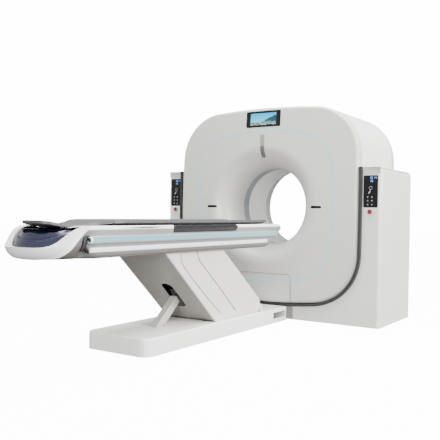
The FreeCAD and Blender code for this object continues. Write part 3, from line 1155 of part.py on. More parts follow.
slot = slot.fuse([rod_z(SLOT_HALF_WIDTH, -FRONT_DEPTH - 1, 0, SLOT_MID_X, -s) for s in (slot_low, slot_high)])
lift_cover = onto_link(lift_cover.cut(slot), ARM_PIVOT_Y)

# The middle cover is two flat cheeks; their lower edge lies level in the plinth's pocket.
skirt_drop = PIVOT_LOW_Z - MIDDLE_SKIRT_Z


def on_skirt(n):
    """Place on the middle cover's lower edge at a distance off its line."""
    return (-(skirt_drop + n * math.cos(link_rise)) / math.sin(link_rise), n)


middle_outline = [on_skirt(MIDDLE_EDGE[0][1])] + list(MIDDLE_EDGE)
middle_outline += [(link_length + MIDDLE_HEAD_RISE, -MIDDLE_HEAD_N),
                   (link_length + MIDDLE_HEAD_RISE, -MIDDLE_REACH), on_skirt(-MIDDLE_REACH)]
middle_plate = along(middle_outline, middle_outer_x - COVER_WALL, middle_outer_x)
for s in (0, link_length):
    middle_plate = middle_plate.cut(rod_x(MIDDLE_PIN_RADIUS + PIVOT_FIT, 0, REACH, -s, -MIDDLE_PIN_SET_BACK))
middle_plate = onto_link(middle_plate, middle_pivot_y)

rear_wall_n = REAR_DEPTH - REAR_TAPER * REAR_WALL_LENGTH
rear_outline = [(REAR_SKIRT_LOW_S, REAR_SKIRT_LOW_N), (REAR_SKIRT_MID_S, -REAR_REACH / 2),
                (REAR_SKIRT_TIP_S, -REAR_REACH), (link_length + REAR_HEAD_TIP_S, -REAR_REACH),
                (link_length + REAR_HEAD_MID_S, -REAR_REACH / 2), (link_length + REAR_HEAD_LOW_S, 0),
                (link_length, rear_wall_n), (REAR_WALL_LENGTH, rear_wall_n), (0, REAR_DEPTH), (0, 0)]
rear_outer = along(rear_outline, -rear_outer_x, rear_outer_x)
rear_outer = rear_outer.fuse([round_end(REAR_DEPTH, 0, rear_outer_x),
                              round_end(HEAD_ROUND, link_length, rear_outer_x)]).removeSplitter()
inner_half = rear_outer_x - COVER_WALL
rear_inner = along([(0, 0), (0, REAR_DEPTH - COVER_WALL), (REAR_WALL_LENGTH, rear_wall_n - COVER_WALL),
                    (REAR_WALL_LENGTH, REAR_REACH), (2 * link_length, REAR_REACH),
                    (2 * link_length, -2 * REAR_REACH), (-link_length, -2 * REAR_REACH), (-link_length, 0)],
                   -inner_half, inner_half)
rear_inner = rear_inner.fuse(round_end(REAR_DEPTH - COVER_WALL, 0, inner_half))
rear_cover_link = rear_outer.cut(rear_inner)
for s in (0, link_length):
    rear_cover_link = rear_cover_link.cut(rod_x(PIVOT_RADIUS + PIVOT_FIT, -REACH, REACH, -s, 0))
rear_cover_link = onto_link(rear_cover_link, rear_pivot_y)

arm = bar(ARM_INNER_X, ARM_OUTER_X, 0, link_length, -ARM_HALF_HEIGHT, ARM_HALF_HEIGHT)
arm = arm.fuse([rod_x(PIVOT_EYE_RADIUS, ARM_INNER_X, ARM_OUTER_X, -s, 0) for s in (0, link_length)])
lug_radius = CROSS_TUBE_RADIUS + ARM_LUG_WALL
arm = arm.fuse(rod_x(lug_radius, ARM_INNER_X, ARM_OUTER_X, -ACTUATOR_HEAD_S, ACTUATOR_HEAD_N))
arm = arm.fuse(along([(ACTUATOR_HEAD_S - lug_radius, ACTUATOR_HEAD_N),
                      (ACTUATOR_HEAD_S + lug_radius, ACTUATOR_HEAD_N),
                      (ACTUATOR_HEAD_S + 3 * lug_radius, ARM_HALF_HEIGHT), (ACTUATOR_HEAD_S, 0),
                      (ACTUATOR_HEAD_S - 3 * lug_radius, ARM_HALF_HEIGHT)], ARM_INNER_X, ARM_OUTER_X))
arm = arm.removeSplitter()
for s in (0, link_length):
    arm = arm.cut(rod_x(PIVOT_RADIUS + PIVOT_FIT, 0, REACH, -s, 0))
for share in (0.45, 0.6, 0.75):
    arm = arm.cut(rod_x(ARM_HOLE_RADIUS, 0, REACH, -share * link_length, 0))
ties = [bar(-ARM_OUTER_X, ARM_OUTER_X, s, s + TIE_WIDTH, COVER_WALL - FRONT_DEPTH, -TIE_DEPTH)
        for s in (TIE_LOW_S, TIE_HIGH_S)]
cross_tube = rod_x(CROSS_TUBE_RADIUS, -ARM_INNER_X, ARM_INNER_X, -ACTUATOR_HEAD_S, ACTUATOR_HEAD_N)
lift_arm = arm.fuse([mirrored(arm), cross_tube] + ties).removeSplitter()
lift_arm = onto_link(lift_arm, ARM_PIVOT_Y)

save(lift_arm, "lift_arm")
save(lift_cover, "lift_arm_cover")
save(Part.makeCompound([middle_plate, mirrored(middle_plate)]), "middle_link_cover")
save(rear_cover_link, "rear_link_cover")

# ------------------------------------------------------------- lifting actuator ----
head_y = (ARM_PIVOT_Y - ACTUATOR_HEAD_S * math.cos(link_rise) + ACTUATOR_HEAD_N * math.sin(link_rise))
head_z = (PIVOT_LOW_Z + ACTUATOR_HEAD_S * math.sin(link_rise) + ACTUATOR_HEAD_N * math.cos(link_rise))
strut_length = math.hypot(head_y - ACTUATOR_FOOT_Y, head_z - ACTUATOR_FOOT_Z)
strut_rise = math.degrees(math.atan2(head_z - ACTUATOR_FOOT_Z, head_y - ACTUATOR_FOOT_Y))
print("actuator at rest: length %.2f mm, %.3f degrees above the floor" % (strut_length, strut_rise))


def onto_strut(shape):
    placed = shape.copy()
    placed.rotate(vec(0, 0, 0), vec(1, 0, 0), strut_rise)
    placed.translate(vec(0, ACTUATOR_FOOT_Y, ACTUATOR_FOOT_Z))
    return placed


half_side = ACTUATOR_SIDE / 2
tube = block(-half_side, half_side, -ACTUATOR_TAIL, ACTUATOR_TUBE_LENGTH, -half_side, half_side)
tube = tube.makeFillet(ACTUATOR_EDGE, edges_along(tube, vec(0, 1, 0), lambda p: True))
tube = tube.cut(rod_x(ACTUATOR_PIN_RADIUS + PIVOT_FIT, -REACH, REACH, 0, 0))
tube = tube.cut(rod_y(ACTUATOR_ROD_RADIUS + ACTUATOR_ROD_FIT, ACTUATOR_TAIL, REACH, 0, 0))
eye_inner = CROSS_TUBE_RADIUS + ACTUATOR_EYE_CLEARANCE
rod = rod_y(ACTUATOR_ROD_RADIUS, ACTUATOR_ROD_START, strut_length, 0, 0)
eye_half = ACTUATOR_EYE_WIDTH / 2
rod = rod.fuse(rod_x(eye_inner + ACTUATOR_EYE_WALL, -eye_half, eye_half, strut_length, 0)).removeSplitter()
rod = rod.cut(rod_x(eye_inner, -REACH, REACH, strut_length, 0))

save(onto_strut(tube), "actuator_tube")
save(onto_strut(rod), "actuator_rod")

# ============================================================================ table ====

bed_centre_z = CRADLE_TOP_Z - CRADLE_DISH + (CRADLE_HALF_WIDTH ** 2 + CRADLE_DISH ** 2) / (2 * CRADLE_DISH)
bed_radius = bed_centre_z - (CRADLE_TOP_Z - CRADLE_DISH)
channel_radius = bed_radius + CRADLE_DECK + CRADLE_BEAM + CRADLE_CLEARANCE
over_table_z = TABLE_TOP_Z + CLEAR
under_table_z = TABLE_BOTTOM_Z - CLEAR
joint_line = [(NOSE_TIP_Y + along, TABLE_TOP_Z - drop) for along, drop in NOSE_JOINT]
joint_head_y = joint_line[0][0]
joint_foot_y = joint_line[-1][0]


def joint_side(shift):
    """Everything on the gantry side of the joint between table body and nose."""
    edge = [(y + shift, z) for y, z in joint_line]
    corners = [(joint_foot_y + shift, under_table_z), (0, under_table_z), (0, over_table_z),
               (joint_head_y + shift, over_table_z)]
    return curved_profile(edge, corners, -REACH, REACH)


def body_form(inset):
    half = TABLE_HALF_WIDTH - inset
    form = block(-half, half, NOSE_TIP_Y, TABLE_TIP_Y, TABLE_BOTTOM_Z + inset, TABLE_TOP_Z - inset)
    form = form.makeFillet(TABLE_BELLY_ROUND - inset / 2,
                           edges_along(form, vec(0, 1, 0), lambda p: p.z < TABLE_BOTTOM_Z + inset + 1))
    form = form.makeFillet(TABLE_TOP_ROUND - inset / 2,
                           edges_along(form, vec(0, 1, 0), lambda p: p.z > TABLE_TOP_Z - inset - 1))
    brow_y = TABLE_TIP_Y - TIP_LEAN - inset
    chin_y = TABLE_TIP_Y - TIP_CHIN_BACK - TIP_WALL_SHARE * inset
    belly_y = TABLE_TIP_Y - TIP_BELLY_BACK - inset / 2
    tip = [(NOSE_TIP_Y, over_table_z), (brow_y, over_table_z), (brow_y, TABLE_TOP_Z),
           (TABLE_TIP_Y - TIP_WALL_SHARE * inset, TABLE_TIP_Z),
           (chin_y, TABLE_BOTTOM_Z + TIP_CHIN_RISE + inset), (belly_y,
                                                              TABLE_BOTTOM_Z + TIP_BELLY_RISE + inset),
           (belly_y, under_table_z), (NOSE_TIP_Y, under_table_z)]
    form = form.common(side_profile(tip, -half, half))
    return form.cut(rod_y(channel_radius + inset, NOSE_TIP_Y - 1, 0, 0, bed_centre_z))


body_cover = body_form(0).cut(body_form(TABLE_WALL)).common(joint_side(0))
body_cover = body_cover.cut(block(-COLUMN_HALF_WIDTH - OPENING_SIDE_GAP,
                                  COLUMN_HALF_WIDTH + OPENING_SIDE_GAP,
                                  ARM_PIVOT_Y - link_run - OPENING_FOOT_GAP,
                                  rear_pivot_y - link_run + OPENING_HEAD_GAP,
                                  TABLE_BOTTOM_Z - 1, TABLE_BOTTOM_Z + TABLE_WALL + 1))


nose_corner = TABLE_HALF_WIDTH + NOSE_PROUD - NOSE_TIP_FLAT


def nose_form(inset):
    half = TABLE_HALF_WIDTH + NOSE_PROUD - inset
    low_y = NOSE_TIP_Y + inset
    low_z = NOSE_BOTTOM_Z + inset
    past_joint_y = joint_head_y + 2 * CLEAR
    form = block(-half, half, low_y, past_joint_y, low_z, TABLE_TOP_Z)
    form = form.makeFillet(nose_corner - inset, edges_along(form, vec(0, 0, 1), lambda p: p.y < low_y + 1))
    belly = [edge for edge in form.Edges
             if abs(edge.CenterOfMass.z - low_z) < 1e-3 and edge.CenterOfMass.y < past_joint_y - 1]
    return form.makeFillet(NOSE_ROUND - inset, belly)


rim_line = [(NOSE_TIP_Y + along, TABLE_TOP_Z - drop) for along, drop in NOSE_RIM]


def below_rim(drop):
    edge = [(y, z - drop) for y, z in rim_line]
    corners = [(edge[-1][0], under_table_z), (edge[0][0], under_table_z)]
    return curved_profile(edge, corners, -REACH, REACH)


foot_side = block(-REACH, REACH, -2 * REACH, joint_head_y, under_table_z,
                  over_table_z).cut(joint_side(-SEAM))
nose_outer = nose_form(0).common(foot_side)
nose_cover = nose_outer.cut(nose_form(NOSE_WALL)).common(below_rim(0))
lip_hollow = nose_form(NOSE_SKIN).cut(nose_form(NOSE_WALL - NOSE_SKIN)).common(below_rim(NOSE_SKIN))
nose_cover = nose_cover.cut(lip_hollow)
insert = nose_form(NOSE_WALL + INSERT_GAP).common(foot_side).common(below_rim(INSERT_DROP))
insert = insert.cut(nose_form(NOSE_WALL + INSERT_GAP + INSERT_WALL).common(below_rim(INSERT_DROP + INSERT_WALL)))
insert = insert.cut(rod_y(channel_radius, -2 * REACH, 0, 0, bed_centre_z))

table_shafts = pivot_pins(-link_run, link_height)


def high_bracket(pivot_y, leg_low_y, leg_high_y, low_x, high_x, eye_radius, top_z):
    eye = rod_x(eye_radius, low_x, high_x, pivot_y, PIVOT_HIGH_Z)
    leg = block(low_x, high_x, pivot_y + leg_low_y, pivot_y + leg_high_y, PIVOT_HIGH_Z, top_z)
    return eye.fuse(leg).removeSplitter()


side_rail_in = TABLE_HALF_WIDTH - TABLE_WALL - FRAME_RAIL_WIDTH
side_rail = block(side_rail_in, TABLE_HALF_WIDTH - TABLE_WALL, FRAME_FOOT_Y, FRAME_HEAD_Y, FRAME_LOW_Z,
                  FRAME_HIGH_Z)
bridge_low = FRAME_BRIDGE_TOP_Z - FRAME_BRIDGE
frame_parts = [side_rail, mirrored(side_rail)]
for y in FRAME_CROSS_Y:
    frame_parts.append(block(-side_rail_in, side_rail_in, y - FRAME_CROSS / 2, y + FRAME_CROSS / 2,
                             FRAME_LOW_Z, FRAME_HIGH_Z))
uprights = []
for pivot_y in (ARM_PIVOT_Y - link_run, middle_pin_y - link_run, rear_pivot_y - link_run):
    frame_parts.append(block(-TABLE_HALF_WIDTH + TABLE_WALL, TABLE_HALF_WIDTH - TABLE_WALL,
                             pivot_y - BRACKET_LEG, pivot_y + BRACKET_LEG, bridge_low, FRAME_BRIDGE_TOP_Z))
    uprights.append(block(side_rail_in, TABLE_HALF_WIDTH - TABLE_WALL, pivot_y - BRACKET_LEG,
                          pivot_y + BRACKET_LEG,
                          FRAME_HIGH_Z, bridge_low))
uprights += [high_bracket(ARM_PIVOT_Y - link_run, -BRACKET_SET_BACK, BRACKET_LEG - BRACKET_SET_BACK,
                          BRACKET_INNER_X,
                          BRACKET_OUTER_X, PIVOT_EYE_RADIUS, bridge_low),
             high_bracket(rear_pivot_y - link_run, -BRACKET_SET_BACK - BRACKET_LEG, -BRACKET_SET_BACK,
                          BRACKET_INNER_X, BRACKET_OUTER_X, PIVOT_EYE_RADIUS, bridge_low),
             rod_x(MIDDLE_EYE_RADIUS, SIDE_BRACKET_INNER_X, side_bracket_outer_x, middle_pin_y - link_run,
                   middle_pin_z + link_height),
             block(SIDE_BRACKET_INNER_X, side_bracket_outer_x, middle_pin_y - link_run - MIDDLE_EYE_RADIUS,
                   middle_pin_y - link_run + MIDDLE_EYE_RADIUS, middle_pin_z + link_height, bridge_low)]
uprights += [mirrored(piece) for piece in uprights]
table_frame = frame_parts[0].fuse(frame_parts[1:] + uprights)
table_frame = table_frame.cut(table_shafts).removeSplitter()

rail_low = LED_RAIL_Z - LED_RAIL_HALF_HEIGHT
rail_high = LED_RAIL_Z + LED_RAIL_HALF_HEIGHT
rail_face = TABLE_HALF_WIDTH + LED_RAIL_PROUD
rail = block(TABLE_HALF_WIDTH, rail_face, RAIL_FOOT_Y, RAIL_HEAD_Y, rail_low, rail_high)
rail = rail.makeFillet(LED_RAIL_ROUND, edges_along(rail, vec(0, 1, 0), lambda p: p.x > rail_face - 1))
rail = rail.cut(block(rail_face - LED_STRIP_DEPTH, rail_face + 1, RAIL_FOOT_Y + RAIL_CAP,
                      RAIL_HEAD_Y - RAIL_CAP,
                      LED_RAIL_Z - LED_STRIP_HEIGHT / 2, LED_RAIL_Z + LED_STRIP_HEIGHT / 2))
strip = block(rail_face - LED_STRIP_DEPTH, rail_face - STRIP_SUNK, RAIL_FOOT_Y + RAIL_CAP,
              RAIL_HEAD_Y - RAIL_CAP,
              LED_RAIL_Z - LED_STRIP_HEIGHT / 2, LED_RAIL_Z + LED_STRIP_HEIGHT / 2)
low_face = TABLE_HALF_WIDTH + LOWER_RAIL_PROUD
low_rail = block(TABLE_HALF_WIDTH, low_face, RAIL_FOOT_Y, LOWER_RAIL_HEAD_Y, LOWER_RAIL_LOW_Z,
                 LOWER_RAIL_HIGH_Z)
low_rail = low_rail.makeFillet(LOWER_RAIL_ROUND, edges_along(low_rail, vec(0, 1, 0),
                                                             lambda p: p.x > low_face - 1))
side_face = TABLE_HALF_WIDTH + SIDE_RAIL_PROUD
holder = front_profile([(TABLE_HALF_WIDTH, SIDE_RAIL_LOW_Z), (side_face, SIDE_RAIL_LOW_Z + SIDE_RAIL_PROUD),
                        (side_face, SIDE_RAIL_HIGH_Z), (TABLE_HALF_WIDTH, SIDE_RAIL_HIGH_Z)],
                       SIDE_RAIL_FOOT_Y, SIDE_RAIL_HEAD_Y)
holder = holder.cut(side_profile([(SIDE_RAIL_HEAD_Y + 1, SIDE_RAIL_HIGH_Z + 1),
                                  (SIDE_RAIL_HEAD_Y + 1, SIDE_RAIL_LOW_Z),
                                  (SIDE_RAIL_HEAD_Y - SIDE_RAIL_POINT, SIDE_RAIL_HIGH_Z + 1)], 0, REACH))

crown = rod_y(bed_radius, CRADLE_FOOT_Y - 1, CRADLE_HEAD_Y + 1, 0, bed_centre_z)
deck_round = rod_y(bed_radius + CRADLE_DECK, CRADLE_FOOT_Y, CRADLE_HEAD_Y, 0, bed_centre_z)
beam_round = rod_y(bed_radius + CRADLE_DECK + CRADLE_BEAM, CRADLE_FOOT_Y, CRADLE_HEAD_Y, 0, bed_centre_z)
plan = block(-CRADLE_HALF_WIDTH, CRADLE_HALF_WIDTH, CRADLE_FOOT_Y, CRADLE_HEAD_Y, TABLE_BOTTOM_Z,
             CRADLE_TOP_Z)
plan = plan.makeFillet(CRADLE_END_ROUND, edges_along(plan, vec(0, 0, 1), lambda p: p.y > CRADLE_HEAD_Y - 1))
plan = plan.makeFillet(CRADLE_FOOT_ROUND, edges_along(plan, vec(0, 0, 1),
                                                      lambda p: p.y < CRADLE_FOOT_Y + 1))
deck = deck_round.cut(crown).common(plan)
beam_half = CRADLE_HALF_WIDTH - CRADLE_BEAM_INSET
beam_plan = block(-beam_half, beam_half, CRADLE_FOOT_Y + CRADLE_BEAM_INSET,
                  CRADLE_HEAD_Y - CRADLE_BEAM_INSET,
                  TABLE_BOTTOM_Z, CRADLE_TOP_Z)
beam_plan = beam_plan.makeFillet(CRADLE_FOOT_ROUND, edges_along(beam_plan, vec(0, 0, 1), lambda p: True))
beam = beam_round.cut(deck_round).common(beam_plan)

save(body_cover, "table_body_cover")
save(nose_cover, "nose_cover")
save(insert, "nose_insert")
save(table_frame, "table_frame")
save(Part.makeCompound(table_shafts), "table_shafts")
save(mirrored(rail), "left_light_rail")
save(rail, "right_light_rail")
save(Part.makeCompound([strip, mirrored(strip)]), "light_strips")
save(Part.makeCompound([low_rail, mirrored(low_rail)]), "lower_rails")
save(Part.makeCompound([holder, mirrored(holder)]), "accessory_rails")
save(deck, "cradle")
save(beam, "cradle_beam")
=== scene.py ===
# %% [markdown]
# A CT scanner for a render. The CAD model is loaded as a fixed frame: each of its nodes is a real
# part that is already at its true size and place, so this file only dresses it. It adds finishes,
# the small pieces that the CAD leaves out, a floor, lights and a camera.

import math

import bpy
import bmesh
from mathutils import Matrix, Vector


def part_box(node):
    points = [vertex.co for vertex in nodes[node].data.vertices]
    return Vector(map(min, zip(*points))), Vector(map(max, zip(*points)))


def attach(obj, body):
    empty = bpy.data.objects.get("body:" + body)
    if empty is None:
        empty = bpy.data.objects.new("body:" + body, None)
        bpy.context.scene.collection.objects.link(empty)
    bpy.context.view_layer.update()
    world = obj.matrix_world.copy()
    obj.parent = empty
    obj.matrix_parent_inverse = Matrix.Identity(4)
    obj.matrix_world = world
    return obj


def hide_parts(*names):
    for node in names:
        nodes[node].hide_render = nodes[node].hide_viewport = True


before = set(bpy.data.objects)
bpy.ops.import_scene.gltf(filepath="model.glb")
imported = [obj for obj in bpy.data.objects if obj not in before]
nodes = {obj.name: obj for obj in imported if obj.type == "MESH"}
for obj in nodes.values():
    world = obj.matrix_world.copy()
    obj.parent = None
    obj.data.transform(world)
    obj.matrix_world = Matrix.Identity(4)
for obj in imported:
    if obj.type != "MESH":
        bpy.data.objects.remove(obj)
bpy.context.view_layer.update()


# %% [markdown]
# Colours are easiest to pick as sRGB hex values, the way a paint chart gives them, but shaders
# calculate in linear light. One function turns the one into the other, and a second gives the
# same colour a little lighter or darker, for the small changes of tint that real surfaces have.

# %% Colours
def colour(code):
    """Linear RGBA from an sRGB hex value such as E4E3E0."""
    parts = [int(code[i:i + 2], 16) / 255 for i in (0, 2, 4)]
    linear = [v / 12.92 if v <= 0.04045 else ((v + 0.055) / 1.055) ** 2.4 for v in parts]
    return (*linear, 1.0)


def shaded(code, share):
    return (*(min(1, v * share) for v in colour(code)[:3]), 1.0)


# %% [markdown]
# A material is a small graph of nodes. One helper joins nodes and another adds a node with its
# settings, so that each finish below reads as a recipe: start from a Principled shader, then add
# what the eye would notice on the real surface.

# %% Node helpers
def feed(node, **links):
    """Joins a node's sockets to other outputs. A node as source gives its first output in use."""
    for socket, source in links.items():
        name = socket.replace("_", " ")
        target = node.inputs[int(name[5:])] if name.startswith("input") else node.inputs[name]
        if isinstance(source, bpy.types.Node):
            source = next(output for output in source.outputs if output.enabled)
        node.id_data.links.new(source, target)


def add_node(tree, kind, settings=None, **links):
    """Adds a node. Settings are properties or socket values, and links go to feed."""
    node = tree.nodes.new(kind)
    for key, value in (settings or {}).items():
        if isinstance(key, int) or key in node.inputs:
            node.inputs[key].default_value = value
        else:
            setattr(node, key, value)
    feed(node, **links)
    return node


def start_material(name, **shader_settings):
    material = bpy.data.materials.new(name)
    material.use_nodes = True
    tree = material.node_tree
    shader = tree.nodes["Principled BSDF"]
    for key, value in shader_settings.items():
        shader.inputs[key.replace("_", " ")].default_value = value
    place = add_node(tree, "ShaderNodeTexCoord")
    return material, tree, shader, place.outputs["Object"]


# %% [markdown]
# Large covers of such a machine are moulded from glass fibre or ABS and sprayed with a satin
# enamel. Close up, sprayed enamel has orange peel: low bumps a few millimetres apart. It is also
# never one even colour over two metres, so a very soft, wide noise moves the tint a little.

# %% Sprayed enamel
def orange_peel(tree, shader, place, bumps_per_metre):
    peel = add_node(tree, "ShaderNodeTexNoise", {"Scale": bumps_per_metre, "Detail": 1.0}, Vector=place)
    bump = add_node(tree, "ShaderNodeBump", {"Strength": 0.05, "Distance": 0.0004}, Height=peel)
    feed(shader, Normal=bump)
    return peel


def sprayed_enamel(name, base, roughness=0.38):
    material, tree, shader, place = start_material(name, Roughness=roughness, IOR=1.5, Coat_Weight=0.15,
                                                   Coat_Roughness=0.12)
    wide = add_node(tree, "ShaderNodeTexNoise", {"Scale": 1.6, "Detail": 2.0}, Vector=place)
    tint = add_node(tree, "ShaderNodeMix", {"data_type": "RGBA", "A": shaded(base, 0.97), "B": shaded(base, 1.03)},
                    Factor=wide)
    peel = orange_peel(tree, shader, place, 1000 / 6.0)
    gloss = add_node(tree, "ShaderNodeMapRange", {"To Min": roughness - 0.04, "To Max": roughness + 0.04}, Value=peel)
    feed(shader, Base_Color=tint, Roughness=gloss)
    return material


# satin grey on the gantry's two faces: the wrap's white enamel, painted darker as shade on faces that get less light
gantry_shaded_enamel = sprayed_enamel("gantry_shaded_enamel", "C3C2BF")
# near white wrap and pedestals: broad, soft highlights
wrap_enamel = sprayed_enamel("wrap_enamel", "E3E2DF")
pedestal_enamel = sprayed_enamel("pedestal_enamel", "D6D5D2")
# duller, darker grey for the caps, and for the top plates, where the grey is painted shade of a recessed front
cap_and_shaded_plate_enamel = sprayed_enamel("cap_and_shaded_plate_enamel", "A7A8A5", roughness=0.45)
# the table's white parts have the clearest gloss, since they are wiped the most
table_enamel = sprayed_enamel("table_enamel", "E2E1E0", roughness=0.3)
# light rails: light grey, painted a darker grey as shade on the table's undercut side
rail_shaded_enamel = sprayed_enamel("rail_shaded_enamel", "8F9192", roughness=0.32)
# warm white of the column and its plinth, and a greyer strut between them
column_enamel = sprayed_enamel("column_enamel", "CFCDC8")
plinth_enamel = sprayed_enamel("plinth_enamel", "EFEEEB")
strut_enamel = sprayed_enamel("strut_enamel", "A9A8A2")
# brownish grey skirting below the gantry
fascia_enamel = sprayed_enamel("fascia_enamel", "8F8C87")
# the bore's liner is an unpainted moulding: the lightest and dullest of all
liner_plastic = sprayed_enamel("liner_plastic", "F1F1EE", roughness=0.5)
print("sprayed finishes:", len(bpy.data.materials))


# %% [markdown]
# Two covers carry painted shade in their colour. The long body of the table is white along its top
# edge. Its sides are a darker silver grey, painted shade on its undercut sides, and taupe below
# and towards the foot, painted shade under the body and on its foot end. A mask on the height and
# one on the length mix the three, each with a soft edge. The white of the nose also runs on for
# forty millimetres past its joint, so another mask follows that line: a curve node turns a height
# into the joint's place.

# %% Three tone enamel of the table, with painted shade
def masked_enamel(tree, shader, place, paint, cloud_scale, cloud_depth, bumps_per_metre):
    """Ends an enamel whose paint comes from masks: a soft cloud over it, and orange peel."""
    cloud = add_node(tree, "ShaderNodeTexNoise", {"Scale": cloud_scale, "Detail": 2.0}, Vector=place)
    shade = add_node(tree, "ShaderNodeMapRange", {"To Min": 1 - cloud_depth, "To Max": 1 + cloud_depth}, Value=cloud)
    varied = add_node(tree, "ShaderNodeVectorMath", {"operation": "SCALE"}, input0=paint, Scale=shade)
    feed(shader, Base_Color=varied)
    orange_peel(tree, shader, place, bumps_per_metre)


# the nose's joint as (height, place along the table), and how far its white goes on past it
nose_joint = [(0.640, -3.168), (0.664, -3.145), (0.702, -3.109), (0.757, -3.067), (0.806, -3.020),
              (0.830, -2.983), (0.8485, -2.925), (0.850, -2.905)]
white_past_joint = 0.040
# where the curve node's axes start, and how long they are
curve_z, curve_height = 0.64, 0.21
curve_y, curve_length = -3.25, 0.4
# (from, to) of each soft edge: white above, painted shade in taupe below, and towards the foot
white_edge, under_shade_edge, foot_shade_edge = (0.826, 0.834), (0.722, 0.668), (-2.86, -3.0)
masking_edge = 0.001


def three_tone_shaded_enamel(name, top, side, low):
    material, tree, shader, place = start_material(name, Roughness=0.34, IOR=1.5, Coat_Weight=0.12)
    y, z = add_node(tree, "ShaderNodeSeparateXYZ", Vector=place).outputs[1:]
    height = add_node(tree, "ShaderNodeMapRange", {"From Min": curve_z, "From Max": curve_z + curve_height}, Value=z)
    joint = add_node(tree, "ShaderNodeFloatCurve", Value=height)
    line = joint.mapping.curves[0]
    line.points[0].location = (0.0, (nose_joint[0][1] - curve_y) / curve_length)
    line.points[1].location = (1.0, (nose_joint[-1][1] - curve_y) / curve_length)
    for up, along in nose_joint[1:-1]:
        line.points.new((up - curve_z) / curve_height, (along - curve_y) / curve_length)
    joint.mapping.update()
    joint_y = add_node(tree, "ShaderNodeMath",
                       {"operation": "MULTIPLY_ADD", 1: curve_length, 2: curve_y + white_past_joint}, input0=joint)
    past = add_node(tree, "ShaderNodeMath", {"operation": "SUBTRACT"}, input0=y, input1=joint_y)
    band = add_node(tree, "ShaderNodeMapRange", {"From Min": masking_edge, "From Max": -masking_edge}, Value=past)
    upper, lower, foot = (add_node(tree, "ShaderNodeMapRange", {"From Min": start, "From Max": end}, Value=value)
                          for (start, end), value in ((white_edge, z), (under_shade_edge, z), (foot_shade_edge, y)))
    under_shade = add_node(tree, "ShaderNodeMath", {"operation": "MAXIMUM"}, input0=lower, input1=foot)
    white = add_node(tree, "ShaderNodeMath", {"operation": "MAXIMUM"}, input0=upper, input1=band)
    sides_with_shade = add_node(tree, "ShaderNodeMix", {"data_type": "RGBA", "A": colour(side), "B": colour(low)},
                           Factor=under_shade)
    paint = add_node(tree, "ShaderNodeMix", {"data_type": "RGBA", "B": colour(top)}, Factor=white, A=sides_with_shade)
    masked_enamel(tree, shader, place, paint, 2.2, 0.04, 160.0)
    return material


# smooth satin: a white top edge, with painted shade in grey on the sides and taupe below and at the foot
body_shaded_enamel = three_tone_shaded_enamel("body_shaded_enamel", "F6F5F4", "7B7C7C", "56524F")


# %% [markdown]
# The swinging column's front wall faces downwards, and its shade is painted: the wall is a darker,
# warm grey than its sides. The colours part along the rounded edge, so the mask is a distance off
# the line of the link: a dot product with the direction square to the link, which is fixed to the
# piece because Object coordinates are.

# %% Two tone enamel of the column, with painted shade
link_angle = math.radians(41)
lift_foot, foot_height = -1.54, 0.182
front_off, side_off = -0.060, -0.046


def two_tone_shaded_enamel(name, side, front):
    material, tree, shader, place = start_material(name, Roughness=0.42, IOR=1.5, Coat_Weight=0.08)
    square = (0, math.sin(link_angle), math.cos(link_angle))
    line = lift_foot * square[1] + foot_height * square[2]
    off = add_node(tree, "ShaderNodeVectorMath", {"operation": "DOT_PRODUCT", 1: square}, input0=place)
    mask = add_node(tree, "ShaderNodeMapRange", {"From Min": line + front_off, "From Max": line + side_off},
                    Value=off)
    paint = add_node(tree, "ShaderNodeMix", {"data_type": "RGBA", "A": colour(front), "B": colour(side)}, Factor=mask)
    masked_enamel(tree, shader, place, paint, 3.0, 0.05, 170.0)
    return material


# a duller spray; the dark grey of the front wall is painted shade, for a wall that faces downwards
front_wall_shaded_enamel = two_tone_shaded_enamel("front_wall_shaded_enamel", "CFCDC8", "807D77")


# %% [markdown]
# Rubber and plastic are moulded: their colour goes right through, and their fine, dry grain was
# pressed in by a steel mould. The grain's size in millimetres sets the scale of one noise, which
# moves the tint, the gloss and the bump together. Grains finer than a millimetre wouldn't show
# in the render, so they are drawn coarser.

# %% Rubber and plastics
def moulded(name, base, roughness, grain_mm=1.5, bump_strength=0.2, **more):
    material, tree, shader, place = start_material(name, **more)
    grain = add_node(tree, "ShaderNodeTexNoise", {"Scale": 1000 / grain_mm, "Detail": 2.0}, Vector=place)
    tint = add_node(tree, "ShaderNodeMix", {"data_type": "RGBA", "A": shaded(base, 0.92), "B": shaded(base, 1.08)},
                    Factor=grain)
    gloss = add_node(tree, "ShaderNodeMapRange", {"To Min": max(0.02, roughness - 0.05), "To Max": roughness + 0.05},
                     Value=grain)
    bump = add_node(tree, "ShaderNodeBump", {"Strength": bump_strength, "Distance": 0.0002}, Height=grain)
    feed(shader, Base_Color=tint, Roughness=gloss, Normal=bump)
    return material


# rubber and plain ABS: dark, dry, with no clear highlight
# the same dark rubber also draws lines of painted shade, in the column's joints and in the door's groove
rubber_and_shade_lines = moulded("rubber_and_shade_lines", "2A2A2A", 0.55)
black_abs = moulded("black_abs", "101013", 0.5, Specular_IOR_Level=0.25)
# the cradle's wipeable skin has a soft, leathery grain, and the carbon beam below is near black
cradle_skin = moulded("cradle_skin", "3E3D40", 0.5, grain_mm=3.0)
cradle_edge = moulded("cradle_edge", "0E0E10", 0.55, Specular_IOR_Level=0.25)
rail_plastic = moulded("rail_plastic", "18181B", 0.5, grain_mm=3.0, Specular_IOR_Level=0.3)
# gelcoat: a deep blue with a clear coat over it, so its folds carry long highlights
navy_gelcoat = moulded("navy_gelcoat", "1B1D33", 0.27, grain_mm=9.0, bump_strength=0.04,
                       Coat_Weight=0.35, Coat_Roughness=0.18)
# hard coated glass: black, and the only sharp reflections on the machine
panel_glass = moulded("panel_glass", "030304", 0.16, grain_mm=20.0, bump_strength=0.02)
